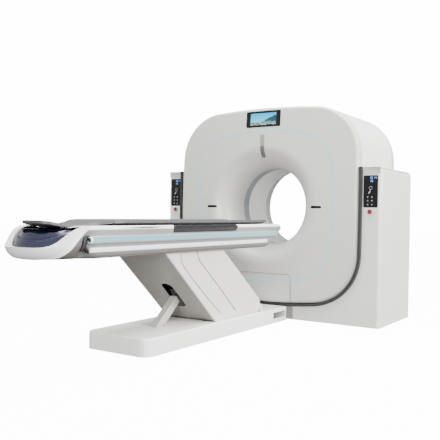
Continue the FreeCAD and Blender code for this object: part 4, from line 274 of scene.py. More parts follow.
# a thin grey film closes the scan window all round the bore
window_film = moulded("window_film", "8E9396", 0.3, grain_mm=14.0, bump_strength=0.03)
# polished red mushroom heads, in pinkish collars
stop_red = moulded("stop_red", "761221", 0.3)
collar_plastic = moulded("collar_plastic", "BDB3B3", 0.4)
detector_black = moulded("detector_black", "1E1F22", 0.5)
# a clear green lens: dark, with one small bright spot
lens_green = moulded("lens_green", "0E3B33", 0.08, grain_mm=12.0, bump_strength=0.02, Coat_Weight=0.8)
# powder coat on the steel frames has the same recipe with a coarser grain
painted_frame = moulded("painted_frame", "6F7478", 0.45, grain_mm=4.0)
black_steel = moulded("black_steel", "101012", 0.4, grain_mm=4.0)
# screen print behind the panel glass: flat and grey
icon_print = moulded("icon_print", "8F9296", 0.4)


# %% [markdown]
# Bare metal keeps the default IOR, because its colour comes from the reflection itself. The only
# bare metal is on shafts, pins and bearings, which are ground: that leaves fine rings round
# them, so the noise is stretched along its X axis, the way the pins lie.

# %% Ground steel
def ground_metal(name, base, roughness, rings_mm=1.2, stretch=40):
    material, tree, shader, place = start_material(name, Metallic=1.0)
    turned = add_node(tree, "ShaderNodeMapping", {"Scale": (stretch, 1, 1)}, Vector=place)
    rings = add_node(tree, "ShaderNodeTexNoise", {"Scale": 1000 / rings_mm / stretch, "Detail": 2.0}, Vector=turned)
    tint = add_node(tree, "ShaderNodeMix", {"data_type": "RGBA", "A": shaded(base, 0.9), "B": colour(base)},
                    Factor=rings)
    gloss = add_node(tree, "ShaderNodeMapRange", {"To Min": roughness - 0.05, "To Max": roughness + 0.08},
                     Value=rings)
    feed(shader, Base_Color=tint, Roughness=gloss)
    return material


ground_steel = ground_metal("ground_steel", "A8A7A5", 0.3)


# %% [markdown]
# The light ring and the light strips are frosted acrylic with diodes behind. They are lit, but
# weakly next to studio lamps, so their emission stays low and the acrylic's own colour does the
# rest. The diodes sit about 33 mm apart, and the frosting leaves only a faint trace of them.

# %% Lit acrylic
def lit_acrylic(name, base, strength):
    material, tree, shader, place = start_material(name, Roughness=0.35, IOR=1.49, Emission_Strength=strength)
    dots = add_node(tree, "ShaderNodeTexNoise", {"Scale": 30.0, "Detail": 1.0}, Vector=place)
    glow = add_node(tree, "ShaderNodeMix", {"data_type": "RGBA", "A": shaded(base, 0.94), "B": colour(base)},
                    Factor=dots)
    feed(shader, Base_Color=glow, Emission_Color=glow)
    return material


ring_acrylic = lit_acrylic("ring_acrylic", "6FC4D6", 0.5)
strip_acrylic = lit_acrylic("strip_acrylic", "3FA9B8", 0.35)
digit_light = lit_acrylic("digit_light", "5F93E0", 1.0)


# %% [markdown]
# The gantry's display shows a picture: a generic lake under a clear sky, drawn with noise. The
# picture reads Object coordinates, centred on the screen by a Mapping node, and it stops short of
# the glass at the left and the right, so the ends of the screen stay black.

# %% Display picture
def display_picture():
    material, tree, shader, place = start_material("display_picture", Roughness=0.3, Emission_Strength=0.75)
    low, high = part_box("display_screen")
    middle = (low + high) / 2
    size = high - low
    centred = add_node(tree, "ShaderNodeMapping",
                       {"Location": (-middle.x / size.x, -middle.y / size.z, -middle.z / size.z),
                        "Scale": (1 / size.x, 1 / size.z, 1 / size.z)}, Vector=place)
    axes = add_node(tree, "ShaderNodeSeparateXYZ", Vector=centred).outputs
    x, z = axes["X"], axes["Z"]
    height = add_node(tree, "ShaderNodeMapRange", {"From Min": -0.4, "From Max": 0.5}, Value=z)
    sky = add_node(tree, "ShaderNodeMix", {"data_type": "RGBA", "A": colour("3FB4CF"), "B": colour("0F86AF")},
                   Factor=height)
    # a dark hill on the right: its edge is a slanting line, roughened by noise
    rough = add_node(tree, "ShaderNodeTexNoise", {"Scale": 5.0, "Detail": 4.0}, Vector=centred)
    edge = add_node(tree, "ShaderNodeMath", {"operation": "MULTIPLY_ADD", 1: 0.55, 2: -0.42}, input0=rough)
    slope = add_node(tree, "ShaderNodeMath", {"operation": "MULTIPLY_ADD", 1: 1.3}, input0=x, input2=edge)
    above = add_node(tree, "ShaderNodeMath", {"operation": "SUBTRACT"}, input0=slope, input1=z)
    hill = add_node(tree, "ShaderNodeMapRange", {"From Min": -0.02, "From Max": 0.08}, Value=above)
    with_hill = add_node(tree, "ShaderNodeMix", {"data_type": "RGBA", "B": colour("0B3A4E")}, Factor=hill, A=sky)
    # broken light on the shore along the foot of the picture
    shore = add_node(tree, "ShaderNodeMapRange", {"From Min": -0.17, "From Max": -0.30}, Value=z)
    spots = add_node(tree, "ShaderNodeTexNoise", {"Scale": 14.0, "Detail": 3.0}, Vector=centred)
    sparkle = add_node(tree, "ShaderNodeMapRange", {"From Min": 0.42, "From Max": 0.6}, Value=spots)
    land = add_node(tree, "ShaderNodeMix", {"data_type": "RGBA", "A": colour("14333C"), "B": colour("8FA6A4")},
                    Factor=sparkle)
    view = add_node(tree, "ShaderNodeMix", {"data_type": "RGBA"}, Factor=shore, A=with_hill, B=land)
    # the glass is black beyond the picture's left and right edges
    across = add_node(tree, "ShaderNodeMath", {"operation": "ABSOLUTE"}, input0=x)
    outside = add_node(tree, "ShaderNodeMapRange", {"From Min": 0.415, "From Max": 0.425}, Value=across)
    picture = add_node(tree, "ShaderNodeMix", {"data_type": "RGBA", "B": colour("050608")}, Factor=outside, A=view)
    feed(shader, Base_Color=picture, Emission_Color=picture)
    return material


screen_picture = display_picture()

# %% [markdown]
# The positioning laser shines through a bent window above the bore. Its upper part is a grey
# printed cover and its lower part dark, clear plastic, so one material changes with the height.

# %% Laser window
def printed_window(name, upper, lower, haze, split):
    material, tree, shader, place = start_material(name, Roughness=0.25, Coat_Weight=0.2)
    z = add_node(tree, "ShaderNodeSeparateXYZ", Vector=place).outputs["Z"]
    side = add_node(tree, "ShaderNodeMapRange", {"From Min": split - 0.004, "From Max": split + 0.004}, Value=z)
    spots = add_node(tree, "ShaderNodeTexNoise", {"Scale": 45.0, "Detail": 2.0}, Vector=place)
    clear = add_node(tree, "ShaderNodeMix", {"data_type": "RGBA", "A": colour(lower), "B": colour(haze)}, Factor=spots)
    both = add_node(tree, "ShaderNodeMix", {"data_type": "RGBA", "B": colour(upper)}, Factor=side, A=clear)
    feed(shader, Base_Color=both)
    return material


laser_plastic = printed_window("laser_plastic", "8C8B89", "3B3A39", "7C7A78", split=1.548)

# %% [markdown]
# Each CAD node now gets its finish. A node's mesh is never changed, only its material slot.

# %% Finishes on the CAD nodes
finishes = {
    gantry_shaded_enamel: ["front_cover", "access_panel", "rear_cover"],
    wrap_enamel: ["side_wrap"],
    liner_plastic: ["bore_liner"],
    pedestal_enamel: ["left_pedestal_cover", "right_pedestal_cover"],
    cap_and_shaded_plate_enamel: ["left_pedestal_cap", "right_pedestal_cap"],
    fascia_enamel: ["base_fascia", "rear_fascia"],
    table_enamel: ["nose_cover", "lower_rails"],
    body_shaded_enamel: ["table_body_cover"],
    rail_shaded_enamel: ["left_light_rail", "right_light_rail"],
    front_wall_shaded_enamel: ["lift_arm_cover"],
    column_enamel: ["middle_link_cover", "rear_link_cover", "pivot_shafts"],
    plinth_enamel: ["plinth_cover", "plinth_bridge"],
    strut_enamel: ["actuator_tube"],
    window_film: ["scan_window"],
    ring_acrylic: ["light_ring"],
    strip_acrylic: ["light_strips"],
    panel_glass: ["display_bezel", "left_control_panel", "right_control_panel"],
    screen_picture: ["display_screen"],
    black_abs: ["intercom_ports"],
    laser_plastic: ["laser_window"],
    rubber_and_shade_lines: ["gap_seal"],
    painted_frame: ["gantry_base_plate", "left_tower", "right_tower", "stator_frame", "rotor_ring", "generator",
                    "cooling_unit", "table_frame"],
    black_steel: ["plinth_frame", "lift_arm"],
    ground_steel: ["tilt_bearings", "tilt_shafts", "table_shafts", "actuator_rod", "x_ray_tube", "collimator",
                   "left_stop_stem", "right_stop_stem"],
    detector_black: ["detector_array"],
    stop_red: ["left_stop_head", "right_stop_head"],
    collar_plastic: ["left_stop_collar", "right_stop_collar"],
    navy_gelcoat: ["nose_insert"],
    rail_plastic: ["accessory_rails"],
    cradle_skin: ["cradle"],
    cradle_edge: ["cradle_beam"],
}
dressed = 0
for finish, names in finishes.items():
    for name in names:
        mesh = nodes[name].data
        mesh.materials.clear()
        mesh.materials.append(finish)
        dressed += 1
print("finished nodes:", dressed, "of", len(nodes))


# %% [markdown]
# The rest of this file models pieces by hand, as in edit mode. A few small helpers keep each step
# short. An operator acts on all that is selected, so the first leaves edit mode and deselects
# everything. Others name a new piece, start from a block with given corners, select by place or
# normal, or all, extrude, move points, bevel all edges, sink a framed field into a face, and
# apply a modifier. The last one finishes a piece: normals outwards, smooth shading up to an
# angle, its finish, and the body it rides on.

# %% Modelling helpers
sides = ((1, "right"), (-1, "left"))
facing_foot = (math.pi / 2, 0, 0)


def nothing_selected():
    if bpy.context.object and bpy.context.object.mode != "OBJECT":
        bpy.ops.object.mode_set(mode="OBJECT")
    bpy.ops.object.select_all(action="DESELECT")


def new_piece(name):
    """Names what an operator has just added, and takes its place and turn into its mesh."""
    piece = bpy.context.object
    piece.name = piece.data.name = name
    bpy.ops.object.transform_apply(location=True, rotation=True, scale=True)
    return piece


def block(name, low, high):
    nothing_selected()
    low, high = Vector(low), Vector(high)
    bpy.ops.mesh.primitive_cube_add(size=1, location=(low + high) / 2, scale=high - low)
    return new_piece(name)


def select_where(piece, test, kind="FACE"):
    """Enters edit mode and selects what passes test(place, normal). An edge gives its direction."""
    bpy.context.view_layer.objects.active = piece
    bpy.ops.object.mode_set(mode="EDIT")
    bpy.ops.mesh.select_mode(type=kind)
    bpy.ops.mesh.select_all(action="DESELECT")
    mesh = bmesh.from_edit_mesh(piece.data)
    for part in {"FACE": mesh.faces, "EDGE": mesh.edges, "VERT": mesh.verts}[kind]:
        if kind == "FACE":
            passed = test(part.calc_center_median(), part.normal)
        elif kind == "EDGE":
            passed = test((part.verts[0].co + part.verts[1].co) / 2, part.verts[1].co - part.verts[0].co)
        else:
            passed = test(part.co, part.normal)
        if passed:
            part.select_set(True)
    bmesh.update_edit_mesh(piece.data)


def edit_all(piece):
    """Enters edit mode with all of the piece selected."""
    bpy.context.view_layer.objects.active = piece
    bpy.ops.object.mode_set(mode="EDIT")
    bpy.ops.mesh.select_all(action="SELECT")


def extrude(move):
    bpy.ops.mesh.extrude_region_move(TRANSFORM_OT_translate={"value": move})


def move_points(piece, new_place, test=lambda place: True):
    """Moves each point that passes the test to new_place(place); tells how many have moved."""
    select_where(piece, lambda place, normal: test(place), kind="VERT")
    moved = 0
    for vert in bmesh.from_edit_mesh(piece.data).verts:
        if vert.select:
            before = vert.co.copy()
            vert.co = new_place(before)
            moved += vert.co != before
    bmesh.update_edit_mesh(piece.data)
    return moved


def rounded(piece, width, segments):
    """Bevels all edges of the piece in edit mode."""
    edit_all(piece)
    bpy.ops.mesh.bevel(offset=width, segments=segments, affect="EDGES", clamp_overlap=True)
    bpy.ops.object.mode_set(mode="OBJECT")


def sunk_field(piece, direction, frame_width, depth):
    """Leaves a frame on the face that looks along a direction, and sinks the field inside it."""
    direction = Vector(direction)
    select_where(piece, lambda place, normal: normal.dot(direction) > 0.9)
    bpy.ops.mesh.inset(thickness=frame_width, depth=0)
    extrude(-depth * direction)


def modified(piece, kind, **settings):
    """Adds a modifier and applies it."""
    bpy.ops.object.mode_set(mode="OBJECT")
    modifier = piece.modifiers.new(kind.lower(), kind)
    for key, value in settings.items():
        setattr(modifier, key, value)
    bpy.ops.object.modifier_apply(modifier=modifier.name)


def finished(piece, finish, body, smooth_deg=35):
    nothing_selected()
    piece.select_set(True)
    edit_all(piece)
    bpy.ops.mesh.normals_make_consistent(inside=False)
    bpy.ops.object.mode_set(mode="OBJECT")
    bpy.ops.object.shade_smooth_by_angle(angle=math.radians(smooth_deg))
    piece.data.materials.clear()
    piece.data.materials.append(finish)
    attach(piece, body)
    size = piece.dimensions
    print(f"{piece.name}: {len(piece.data.polygons)} faces, {size.x:.3f} x {size.y:.3f} x {size.z:.3f} m on {body}")


# %% [markdown]
# The table's body cover meets the rounded nose, so its own foot end draws in too, a little inside
# the nose. The CAD cover is straight there. A copy of it stands for it: the copy is cut into
# slices across its length and its height, and what lies beyond the start of the nose is pressed
# in to the nose's circle, and along its foot to the nose's large round. Cutting first gives the
# long flat sides the points they need. A copied node is loose triangles, so it is merged first.

# %% Copy of a node, and slices
def copy_of_node(node, name):
    nothing_selected()
    mesh = nodes[node].data.copy()
    mesh.name = name
    piece = bpy.data.objects.new(name, mesh)
    bpy.context.scene.collection.objects.link(piece)
    piece.select_set(True)
    edit_all(piece)
    bpy.ops.mesh.customdata_custom_splitnormals_clear()
    bpy.ops.mesh.remove_doubles(threshold=0.00002)
    bpy.ops.object.mode_set(mode="OBJECT")
    return piece


def sliced(piece, axis, places):
    for place in places:
        edit_all(piece)
        bpy.ops.mesh.bisect(plane_co=Vector(axis) * place, plane_no=axis)
    bpy.ops.object.mode_set(mode="OBJECT")


# %% Body cover that follows the nose
nose_start, nose_radius = -2.968, 0.262
body_half, body_foot, body_wall = 0.268, 0.661, 0.006
# a point farther than this inside the cover's outer face belongs to its inner skin
skin_margin = 0.0055
draw_in_from, slice_step = -2.86, 0.013
plain_round, extra_round = 0.025, 0.062
slice_heights = (0.003, 0.007, 0.012, 0.018, 0.026, 0.036, 0.048, 0.062, 0.076)


def body_half_width(y, z):
    """Half width of the table's body: the nose's circle in plan, less the round along its foot."""
    beyond = min(nose_radius - 0.001, max(0.0, nose_start - y))
    blend = min(1.0, max(0.0, (draw_in_from - y) / (draw_in_from - nose_start)))
    foot_round = plain_round + extra_round * blend * blend * (3 - 2 * blend)
    below = max(0.0, foot_round - max(0.0, z - body_foot))
    return (body_half - nose_radius + math.sqrt(nose_radius ** 2 - beyond ** 2)
            - foot_round + math.sqrt(foot_round ** 2 - min(below, foot_round) ** 2))


def drawn_in(place):
    """The cover has an outer and an inner skin: the inner one stays a wall inside."""
    inner = abs(place.x) < body_half - skin_margin and place.z > body_foot + skin_margin
    limit = body_half_width(place.y, place.z) - (body_wall if inner else 0)
    return math.copysign(min(abs(place.x), limit), place.x), place.y, place.z


body_shell = copy_of_node("table_body_cover", "body_shell")
sliced(body_shell, (0, 1, 0), [draw_in_from - slice_step * i for i in range(23)])
sliced(body_shell, (0, 0, 1), [body_foot + height for height in slice_heights])
print("points pressed in:", move_points(body_shell, drawn_in, lambda place: place.y < draw_in_from))
finished(body_shell, body_shaded_enamel, "table_top")
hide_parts("table_body_cover")


# %% [markdown]
# The foot end holds a navy basin, a gelcoat moulding that a foot rest clips into. Seen from
# above it is a half circle drawn out to a straight back edge. A disc is inset ring by ring, and
# each ring is set to a height: the outer ring follows the low rim of the nose, the next ones rise
# to a fold, and behind a groove the middle is a raised pad with a crown. That gives the dark
# crease and the highlights above and below it. Solidify then gives the sheet its thickness.

# %% Heights along the nose rim
rim_line = [(-3.240, 0.732), (-3.190, 0.727), (-3.155, 0.731), (-3.120, 0.748), (-3.085, 0.778), (-3.045, 0.812),
            (-3.000, 0.836), (-2.930, 0.847), (-2.850, 0.850)]


def on_line(line, t):
    """Height on a smooth line through the points (place, height), by a cubic between neighbours."""
    t = min(max(t, line[0][0]), line[-1][0])
    i = max(k for k in range(len(line) - 1) if line[k][0] <= t)
    (t0, h0), (t1, h1) = line[i], line[i + 1]
    before = line[i - 1] if i else line[i]
    after = line[i + 2] if i + 2 < len(line) else line[i + 1]
    slope0 = (h1 - before[1]) / (t1 - before[0])
    slope1 = (after[1] - h0) / (after[0] - t0)
    span = t1 - t0
    f = (t - t0) / span
    return ((2 * f ** 3 - 3 * f ** 2 + 1) * h0 + (f ** 3 - 2 * f ** 2 + f) * span * slope0
            + (3 * f ** 2 - 2 * f ** 3) * h1 + (f ** 3 - f ** 2) * span * slope1)


# %% Navy basin
basin_low, basin_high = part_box("nose_insert")
# the basin's edge lies this far inside the nose, and this far below its rim
basin_overlap, rim_drop = 0.0012, 0.009
basin_depth = 0.2185
basin_half, basin_back = basin_high.x + basin_overlap, basin_high.y
basin_middle = basin_low.y - basin_overlap + basin_depth
# steps inwards from ring to ring, and each ring's share of the way from the rim to the pad's top
ring_steps = [0.003, 0.009, 0.009, 0.004, 0.004, 0.004, 0.004, 0.008, 0.010, 0.012, 0.012]
ring_lifts = [0.0, 0.05, 0.24, 0.38, 0.41, 0.34, 0.35, 0.47, 0.62, 0.76, 0.87, 0.92]
pad_top = 0.832


def basin_outline(place):
    """The half towards the head becomes the straight back edge, the other an ellipse's half."""
    across = place.x / basin_half
    if place.y > basin_middle + 0.0001:
        turned = abs(math.asin(max(-1, min(1, across)))) / (math.pi / 2)
        return basin_half * math.copysign(min(1.0, turned), across), basin_back, place.z
    return place.x, basin_middle + (place.y - basin_middle) * basin_depth / basin_half, place.z


def inset_depth(place):
    """How far a point lies inside the basin's outline."""
    back = basin_back - place.y
    if place.y > basin_middle:
        return min(back, basin_half - abs(place.x))
    return min(back, basin_half - math.hypot(place.x, (place.y - basin_middle) * basin_half / basin_depth))


def on_basin(place):
    rim = on_line(rim_line, place.y) - rim_drop
    return place.x, place.y, rim + on_line(profile, inset_depth(place)) * max(0.0, pad_top - rim)


nothing_selected()
bpy.ops.mesh.primitive_circle_add(vertices=72, radius=basin_half, fill_type="NGON", location=(0, basin_middle, 0.78))
navy_basin = new_piece("navy_basin")
move_points(navy_basin, basin_outline)
bpy.ops.mesh.select_mode(type="FACE")
bpy.ops.mesh.select_all(action="SELECT")
bounds = [0.0]
for step in ring_steps:
    bpy.ops.mesh.inset(thickness=step, depth=0)
    bounds.append(bounds[-1] + step)
profile = list(zip(bounds, ring_lifts))
move_points(navy_basin, on_basin)
modified(navy_basin, "SOLIDIFY", thickness=0.004, offset=-1)
finished(navy_basin, navy_gelcoat, "table_top", smooth_deg=60)
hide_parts("nose_insert")

# %% [markdown]
# The cradle is a long foam board in a hard skin, hollow across so that a patient lies safely. Its
# foot end narrows to a tongue that dips and then curls up, and a blanket can't slide off it. The
# board is a grid: three quarters of its rows go to the tongue, and each row gets a width, a height
# and a rise towards its sides. Solidify then gives it its thickness, and Bevel its soft edge. The
# carbon beam below ends before the tongue, as a copy of the node with its end pushed back.

# %% Cradle board
# (place along the table, value): half width, height of the middle, and rise of the sides
board_half = [(-3.130, 0.030), (-3.127, 0.060), (-3.118, 0.084), (-3.098, 0.106), (-3.060, 0.120), (-2.800, 0.130),
              (-2.730, 0.146), (-2.660, 0.188), (-2.600, 0.207), (-2.540, 0.210), (-0.790, 0.210), (-0.775, 0.203)]
board_middle = [(-3.130, 0.8795), (-3.090, 0.8735), (-3.050, 0.8655), (-2.990, 0.8570), (-2.920, 0.8525),
                (-2.860, 0.8520), (-2.800, 0.8545), (-2.740, 0.8590), (-2.660, 0.8620), (-0.775, 0.8620)]
board_rise = [(-3.130, 0.001), (-3.050, 0.003), (-2.900, 0.004), (-2.820, 0.006), (-2.740, 0.011), (-2.660, 0.018),
              (-2.580, 0.0225), (-2.500, 0.023), (-0.775, 0.023)]
board_foot, board_head = board_half[0][0], board_half[-1][0]
tongue_head, tongue_rows = -2.470, 0.75


def on_board(place):
    across, along = place.x, (place.y + 1) / 2
    if along < tongue_rows:
        y = board_foot + (tongue_head - board_foot) * along / tongue_rows
    else:
        y = tongue_head + (board_head - tongue_head) * (along - tongue_rows) / (1 - tongue_rows)
    return across * on_line(board_half, y), y, on_line(board_middle, y) + on_line(board_rise, y) * across ** 2


nothing_selected()
bpy.ops.mesh.primitive_grid_add(x_subdivisions=20, y_subdivisions=90, size=2)
cradle_board = new_piece("cradle_board")
move_points(cradle_board, on_board)
modified(cradle_board, "SOLIDIFY", thickness=0.018, offset=-1)
modified(cradle_board, "BEVEL", width=0.004, segments=3, limit_method="ANGLE", angle_limit=math.radians(50))
finished(cradle_board, cradle_skin, "cradle", smooth_deg=50)
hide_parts("cradle")

# %% Cradle beam
beam_end, beam_stop = -2.62, -2.66
beam_share = (beam_stop - beam_end) / (beam_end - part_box("cradle_beam")[0].y)
beam = copy_of_node("cradle_beam", "board_beam")
sliced(beam, (0, 1, 0), [beam_end])
move_points(beam, lambda place: (place.x, beam_end + (beam_end - place.y) * beam_share, place.z),
            lambda place: place.y < beam_end - 0.0001)
finished(beam, cradle_edge, "cradle")
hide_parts("cradle_beam")

# %% [markdown]
# Dark rails along the table take clamps for drips and straps. Each is a plastic section with a
# groove along it, and its gantry end is drawn out to a point so that a sheet doesn't catch on it.
# The groove is an inset face pushed in, and the point an extruded end face scaled flat.

# %% Accessory rails
rail_low, rail_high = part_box("accessory_rails")
rail_top, rail_point, point_height = 0.8525, 0.034, 0.838
for side, word in sides:
    inner, outer = sorted((side * (rail_high.x - 0.0085), side * (rail_high.x + 0.0006)))
    rail = block(word + "_accessory_rail", (inner, rail_low.y, rail_low.z + 0.001),
                 (outer, rail_high.y - rail_point, rail_top))
    sunk_field(rail, (side, 0, 0), 0.012, 0.003)
    select_where(rail, lambda place, normal: normal.y > 0.9 and place.y > rail_high.y - rail_point - 0.001)
    extrude((0, rail_point, 0))
    bpy.ops.transform.resize(value=(1, 1, 0.2), center_override=((inner + outer) / 2, rail_high.y, point_height))
    rounded(rail, 0.0008, 2)
    finished(rail, rail_plastic, "table_top")
    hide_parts("accessory_rails")

# %% [markdown]
# At the foot end each light rail closes with a white round socket that holds a green lens, and a
# black bracket joins it to the lower rail. The socket is a cylinder with its front face inset and
# pushed in. The lens is a low dome: half of a sphere, flattened.

# %% Rail end lenses
rail_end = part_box("right_light_rail")[0].y
for side, word in sides:
    middle = Vector((side * 0.2815, rail_end - 0.004, 0.771))
    lens_middle = middle + Vector((0, -0.003, 0))
    nothing_selected()
    bpy.ops.mesh.primitive_cylinder_add(vertices=40, radius=0.019, depth=0.016, location=middle, rotation=facing_foot)
    socket = new_piece(word + "_rail_lens_socket")
    sunk_field(socket, (0, -1, 0), 0.005, 0.004)
    select_where(socket, lambda place, along: abs(along.y) < 0.0001, kind="EDGE")
    bpy.ops.mesh.bevel(offset=0.0015, segments=3, affect="EDGES")
    finished(socket, table_enamel, "table_top")
    nothing_selected()
    bpy.ops.mesh.primitive_uv_sphere_add(segments=32, ring_count=16, radius=0.0135, location=lens_middle,
                                         rotation=facing_foot)
    lens = new_piece(word + "_rail_lens")
    edit_all(lens)
    bpy.ops.mesh.bisect(plane_co=lens_middle, plane_no=(0, 1, 0), clear_outer=True, use_fill=True)
    bpy.ops.mesh.select_all(action="SELECT")
    bpy.ops.transform.resize(value=(1, 0.45, 1), center_override=lens_middle)
    finished(lens, lens_green, "table_top")


# %% [markdown]
# Flat shapes that are cut from sheet, such as the bracket, start from a circle with one vertex
# for each corner. The vertices go to the corners, and the face is extruded to its thickness.

# %% Rail brackets
def plate(name, corners, depth):
    nothing_selected()
    bpy.ops.mesh.primitive_circle_add(vertices=len(corners), fill_type="NGON")
    piece = new_piece(name)
    edit_all(piece)
    for vert, corner in zip(bmesh.from_edit_mesh(piece.data).verts, corners):
        vert.co = corner
    bmesh.update_edit_mesh(piece.data)
    extrude(depth)
    bpy.ops.object.mode_set(mode="OBJECT")
    return piece


bracket_line = [(-2.944, 0.797), (-2.966, 0.797), (-2.982, 0.788), (-2.990, 0.770), (-2.992, 0.748), (-3.002, 0.730),
                (-3.012, 0.712), (-2.992, 0.706), (-2.982, 0.722), (-2.968, 0.703), (-2.950, 0.694), (-2.944, 0.702),
                (-2.962, 0.726), (-2.966, 0.748)]
bracket_place, bracket_thickness = 0.2655, 0.010
for side, word in sides:
    bracket = plate(word + "_rail_bracket", [(side * bracket_place, y, z) for y, z in bracket_line],
                    (side * bracket_thickness, 0, 0))
    rounded(bracket, 0.0012, 2)
    finished(bracket, black_abs, "table_top")


# %% [markdown]
# Dark rods along the joints between the three covers of the swinging column are painted shade: the
# shade in the steps where the covers nest. They are thin rods that follow the covers' edges: a small
# circle is extruded from point to point. The points are given along the link and off it, as the
# covers are, and turned into the frame. The same helper draws the moulded line below the slot in
# the front wall.

# %% Painted shade lines and a moulded line on the column
def rod_along(name, points, radius, corners):
    nothing_selected()
    points = [Vector(point) for point in points]
    turn = (points[1] - points[0]).to_track_quat("Z", "Y").to_euler()
    bpy.ops.mesh.primitive_circle_add(vertices=corners, radius=radius, fill_type="NGON", location=points[0],
                                      rotation=turn)
    piece = new_piece(name)
    edit_all(piece)
    for start, end in zip(points, points[1:]):
        extrude(end - start)
    bpy.ops.object.mode_set(mode="OBJECT")
    return piece


def on_link(foot, along, off, x):
    return (x, foot - along * math.cos(link_angle) + off * math.sin(link_angle),
            foot_height + along * math.sin(link_angle) + off * math.cos(link_angle))


def smooth_points(line, count):
    first, last = line[0][0], line[-1][0]
    places = [first + (last - first) * i / count for i in range(count + 1)]
    return [(place, on_line(line, place)) for place in places]


front_edge = [(-0.040, 0.028), (0.024, 0.023), (0.194, 0.010), (0.383, 0.003), (0.573, 0.003), (0.618, 0.012),
              (0.644, 0.035), (0.660, 0.042)]
middle_edge = [(-0.060, 0.040), (0.043, 0.042), (0.233, 0.038), (0.469, 0.030), (0.553, 0.027), (0.614, 0.031),
               (0.649, 0.050), (0.672, 0.058)]
middle_foot = -1.342
shade_lines = (("_front_shade_line", "lift_arm", lift_foot, front_edge, 0.2247),
        ("_rear_shade_line", "middle_link", middle_foot, middle_edge, 0.2192))
shade_line_radius, shade_line_lift = 0.0030, 0.0020
for side, word in sides:
    for ending, body, foot, edge, half in shade_lines:
        line = [on_link(foot, along, off + shade_line_lift, side * half) for along, off in smooth_points(edge, 40)]
        shade_line = rod_along(word + ending, line, shade_line_radius, 8)
        finished(shade_line, rubber_and_shade_lines, body, smooth_deg=60)

# (place along the link, place across) of the line on the front wall
slot_line = [(0.034, -0.050), (0.070, -0.049), (0.105, -0.042), (0.140, -0.026), (0.170, -0.006)]
front_wall_off = -0.0632
front_line = rod_along("front_wall_line", [on_link(lift_foot, along, front_wall_off, x)
                                           for along, x in smooth_points(slot_line, 20)], 0.0013, 6)
finished(front_line, rubber_and_shade_lines, "lift_arm", smooth_deg=60)

# %% [markdown]
# A service door closes the foot of the gantry's front. Its joint is a narrow, shadowed groove
# with rounded corners. The cover is curved, so a ray is shot at it for each point of the outline,
# and a fine dark rod lies along what the rays hit, half sunk in the groove: the rod paints the
# groove's shade.

# %% Groove round the service door
door_low, door_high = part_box("access_panel")
door_half, door_foot, door_top, door_round = door_high.x, door_low.z + 0.014, door_high.z, 0.030
# the rays start well in front, and a hit behind the second place lies inside the gantry
ray_start, front_limit = -1.0, -0.36


def door_outline():
    """The door's outline from its left foot, over its top, to its right foot."""
    left = [(-door_half, door_foot + 0.02 * i) for i in range(11)]
    corner = [(-door_half + door_round * (1 - math.cos(a)), door_top - door_round * (1 - math.sin(a)))
              for a in (math.pi / 2 * i / 6 for i in range(7))]
    top = [(-door_half + door_round + (door_half - door_round) * i / 14, door_top) for i in range(1, 15)]
    half = left + corner + top
    return half + [(-x, z) for x, z in reversed(half[:-1])]


def front_surface(x, z):
    """Where a ray from the front, or one close by, meets the front cover or the door."""
    best = None
    for name in ("front_cover", "access_panel"):
        for dx, dz in ((0, 0), (0.004, 0), (-0.004, 0), (0, 0.004), (0, -0.004)):
            hit, place = nodes[name].ray_cast(Vector((x + dx, ray_start, z + dz)), Vector((0, 1, 0)))[:2]
            if hit and place.y < front_limit and (best is None or place.y < best):
                best = place.y
    return best


hits = [(x, front_surface(x, z), z) for x, z in door_outline()]
door_groove = rod_along("door_groove", [(x, y - 0.0004, z) for x, y, z in hits if y is not None], 0.0016, 6)
finished(door_groove, rubber_and_shade_lines, "pod", smooth_deg=60)


# %% [markdown]
# Behind the black glass of each control panel a display shows the table's height in small
# segment digits, with touch keys and a ring shaped mark below it. Digits are seven bars each,
# joined into one mesh. One key is modelled for each panel, and the others are copies of it.

# %% Segment digits
panel_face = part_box("right_control_panel")[0].y
# each bar's place across and up, in half widths and half heights, and whether it lies or stands
digit_bars = {"top": (0, 1, True), "middle": (0, 0, True), "foot": (0, -1, True),
              "upper_left": (-0.5, 0.5, False), "upper_right": (0.5, 0.5, False),
              "lower_left": (-0.5, -0.5, False), "lower_right": (0.5, -0.5, False)}
shown = {"1": ("upper_right", "lower_right"),
         "4": ("upper_left", "middle", "upper_right", "lower_right"),
         "0": ("top", "foot", "upper_left", "upper_right", "lower_left", "lower_right"),
         "8": tuple(digit_bars)}


def digits(name, text, left, middle_z, height):
    """Segment digits that stand just proud of the panel glass."""
    bars = []
    width, bar_half = height * 0.5, height * 0.08
    for place, letter in enumerate(text):
        x = left + place * width * 1.75
        for bar in shown[letter]:
            across, up, lies = digit_bars[bar]
            bar_x, bar_z = x + across * width, middle_z + up * height / 2
            half_x, half_z = (width / 2 * 0.8, bar_half) if lies else (bar_half, height / 2 * 0.42)
            bars.append(block("bar", (bar_x - half_x, panel_face - 0.0008, bar_z - half_z),
                              (bar_x + half_x, panel_face + 0.0004, bar_z + half_z)))
    nothing_selected()
    for bar in bars:
        bar.select_set(True)
    bpy.context.view_layer.objects.active = bars[0]
    bpy.ops.object.join()
    piece = new_piece(name)
    rounded(piece, 0.0002, 1)
    finished(piece, digit_light, "stand")


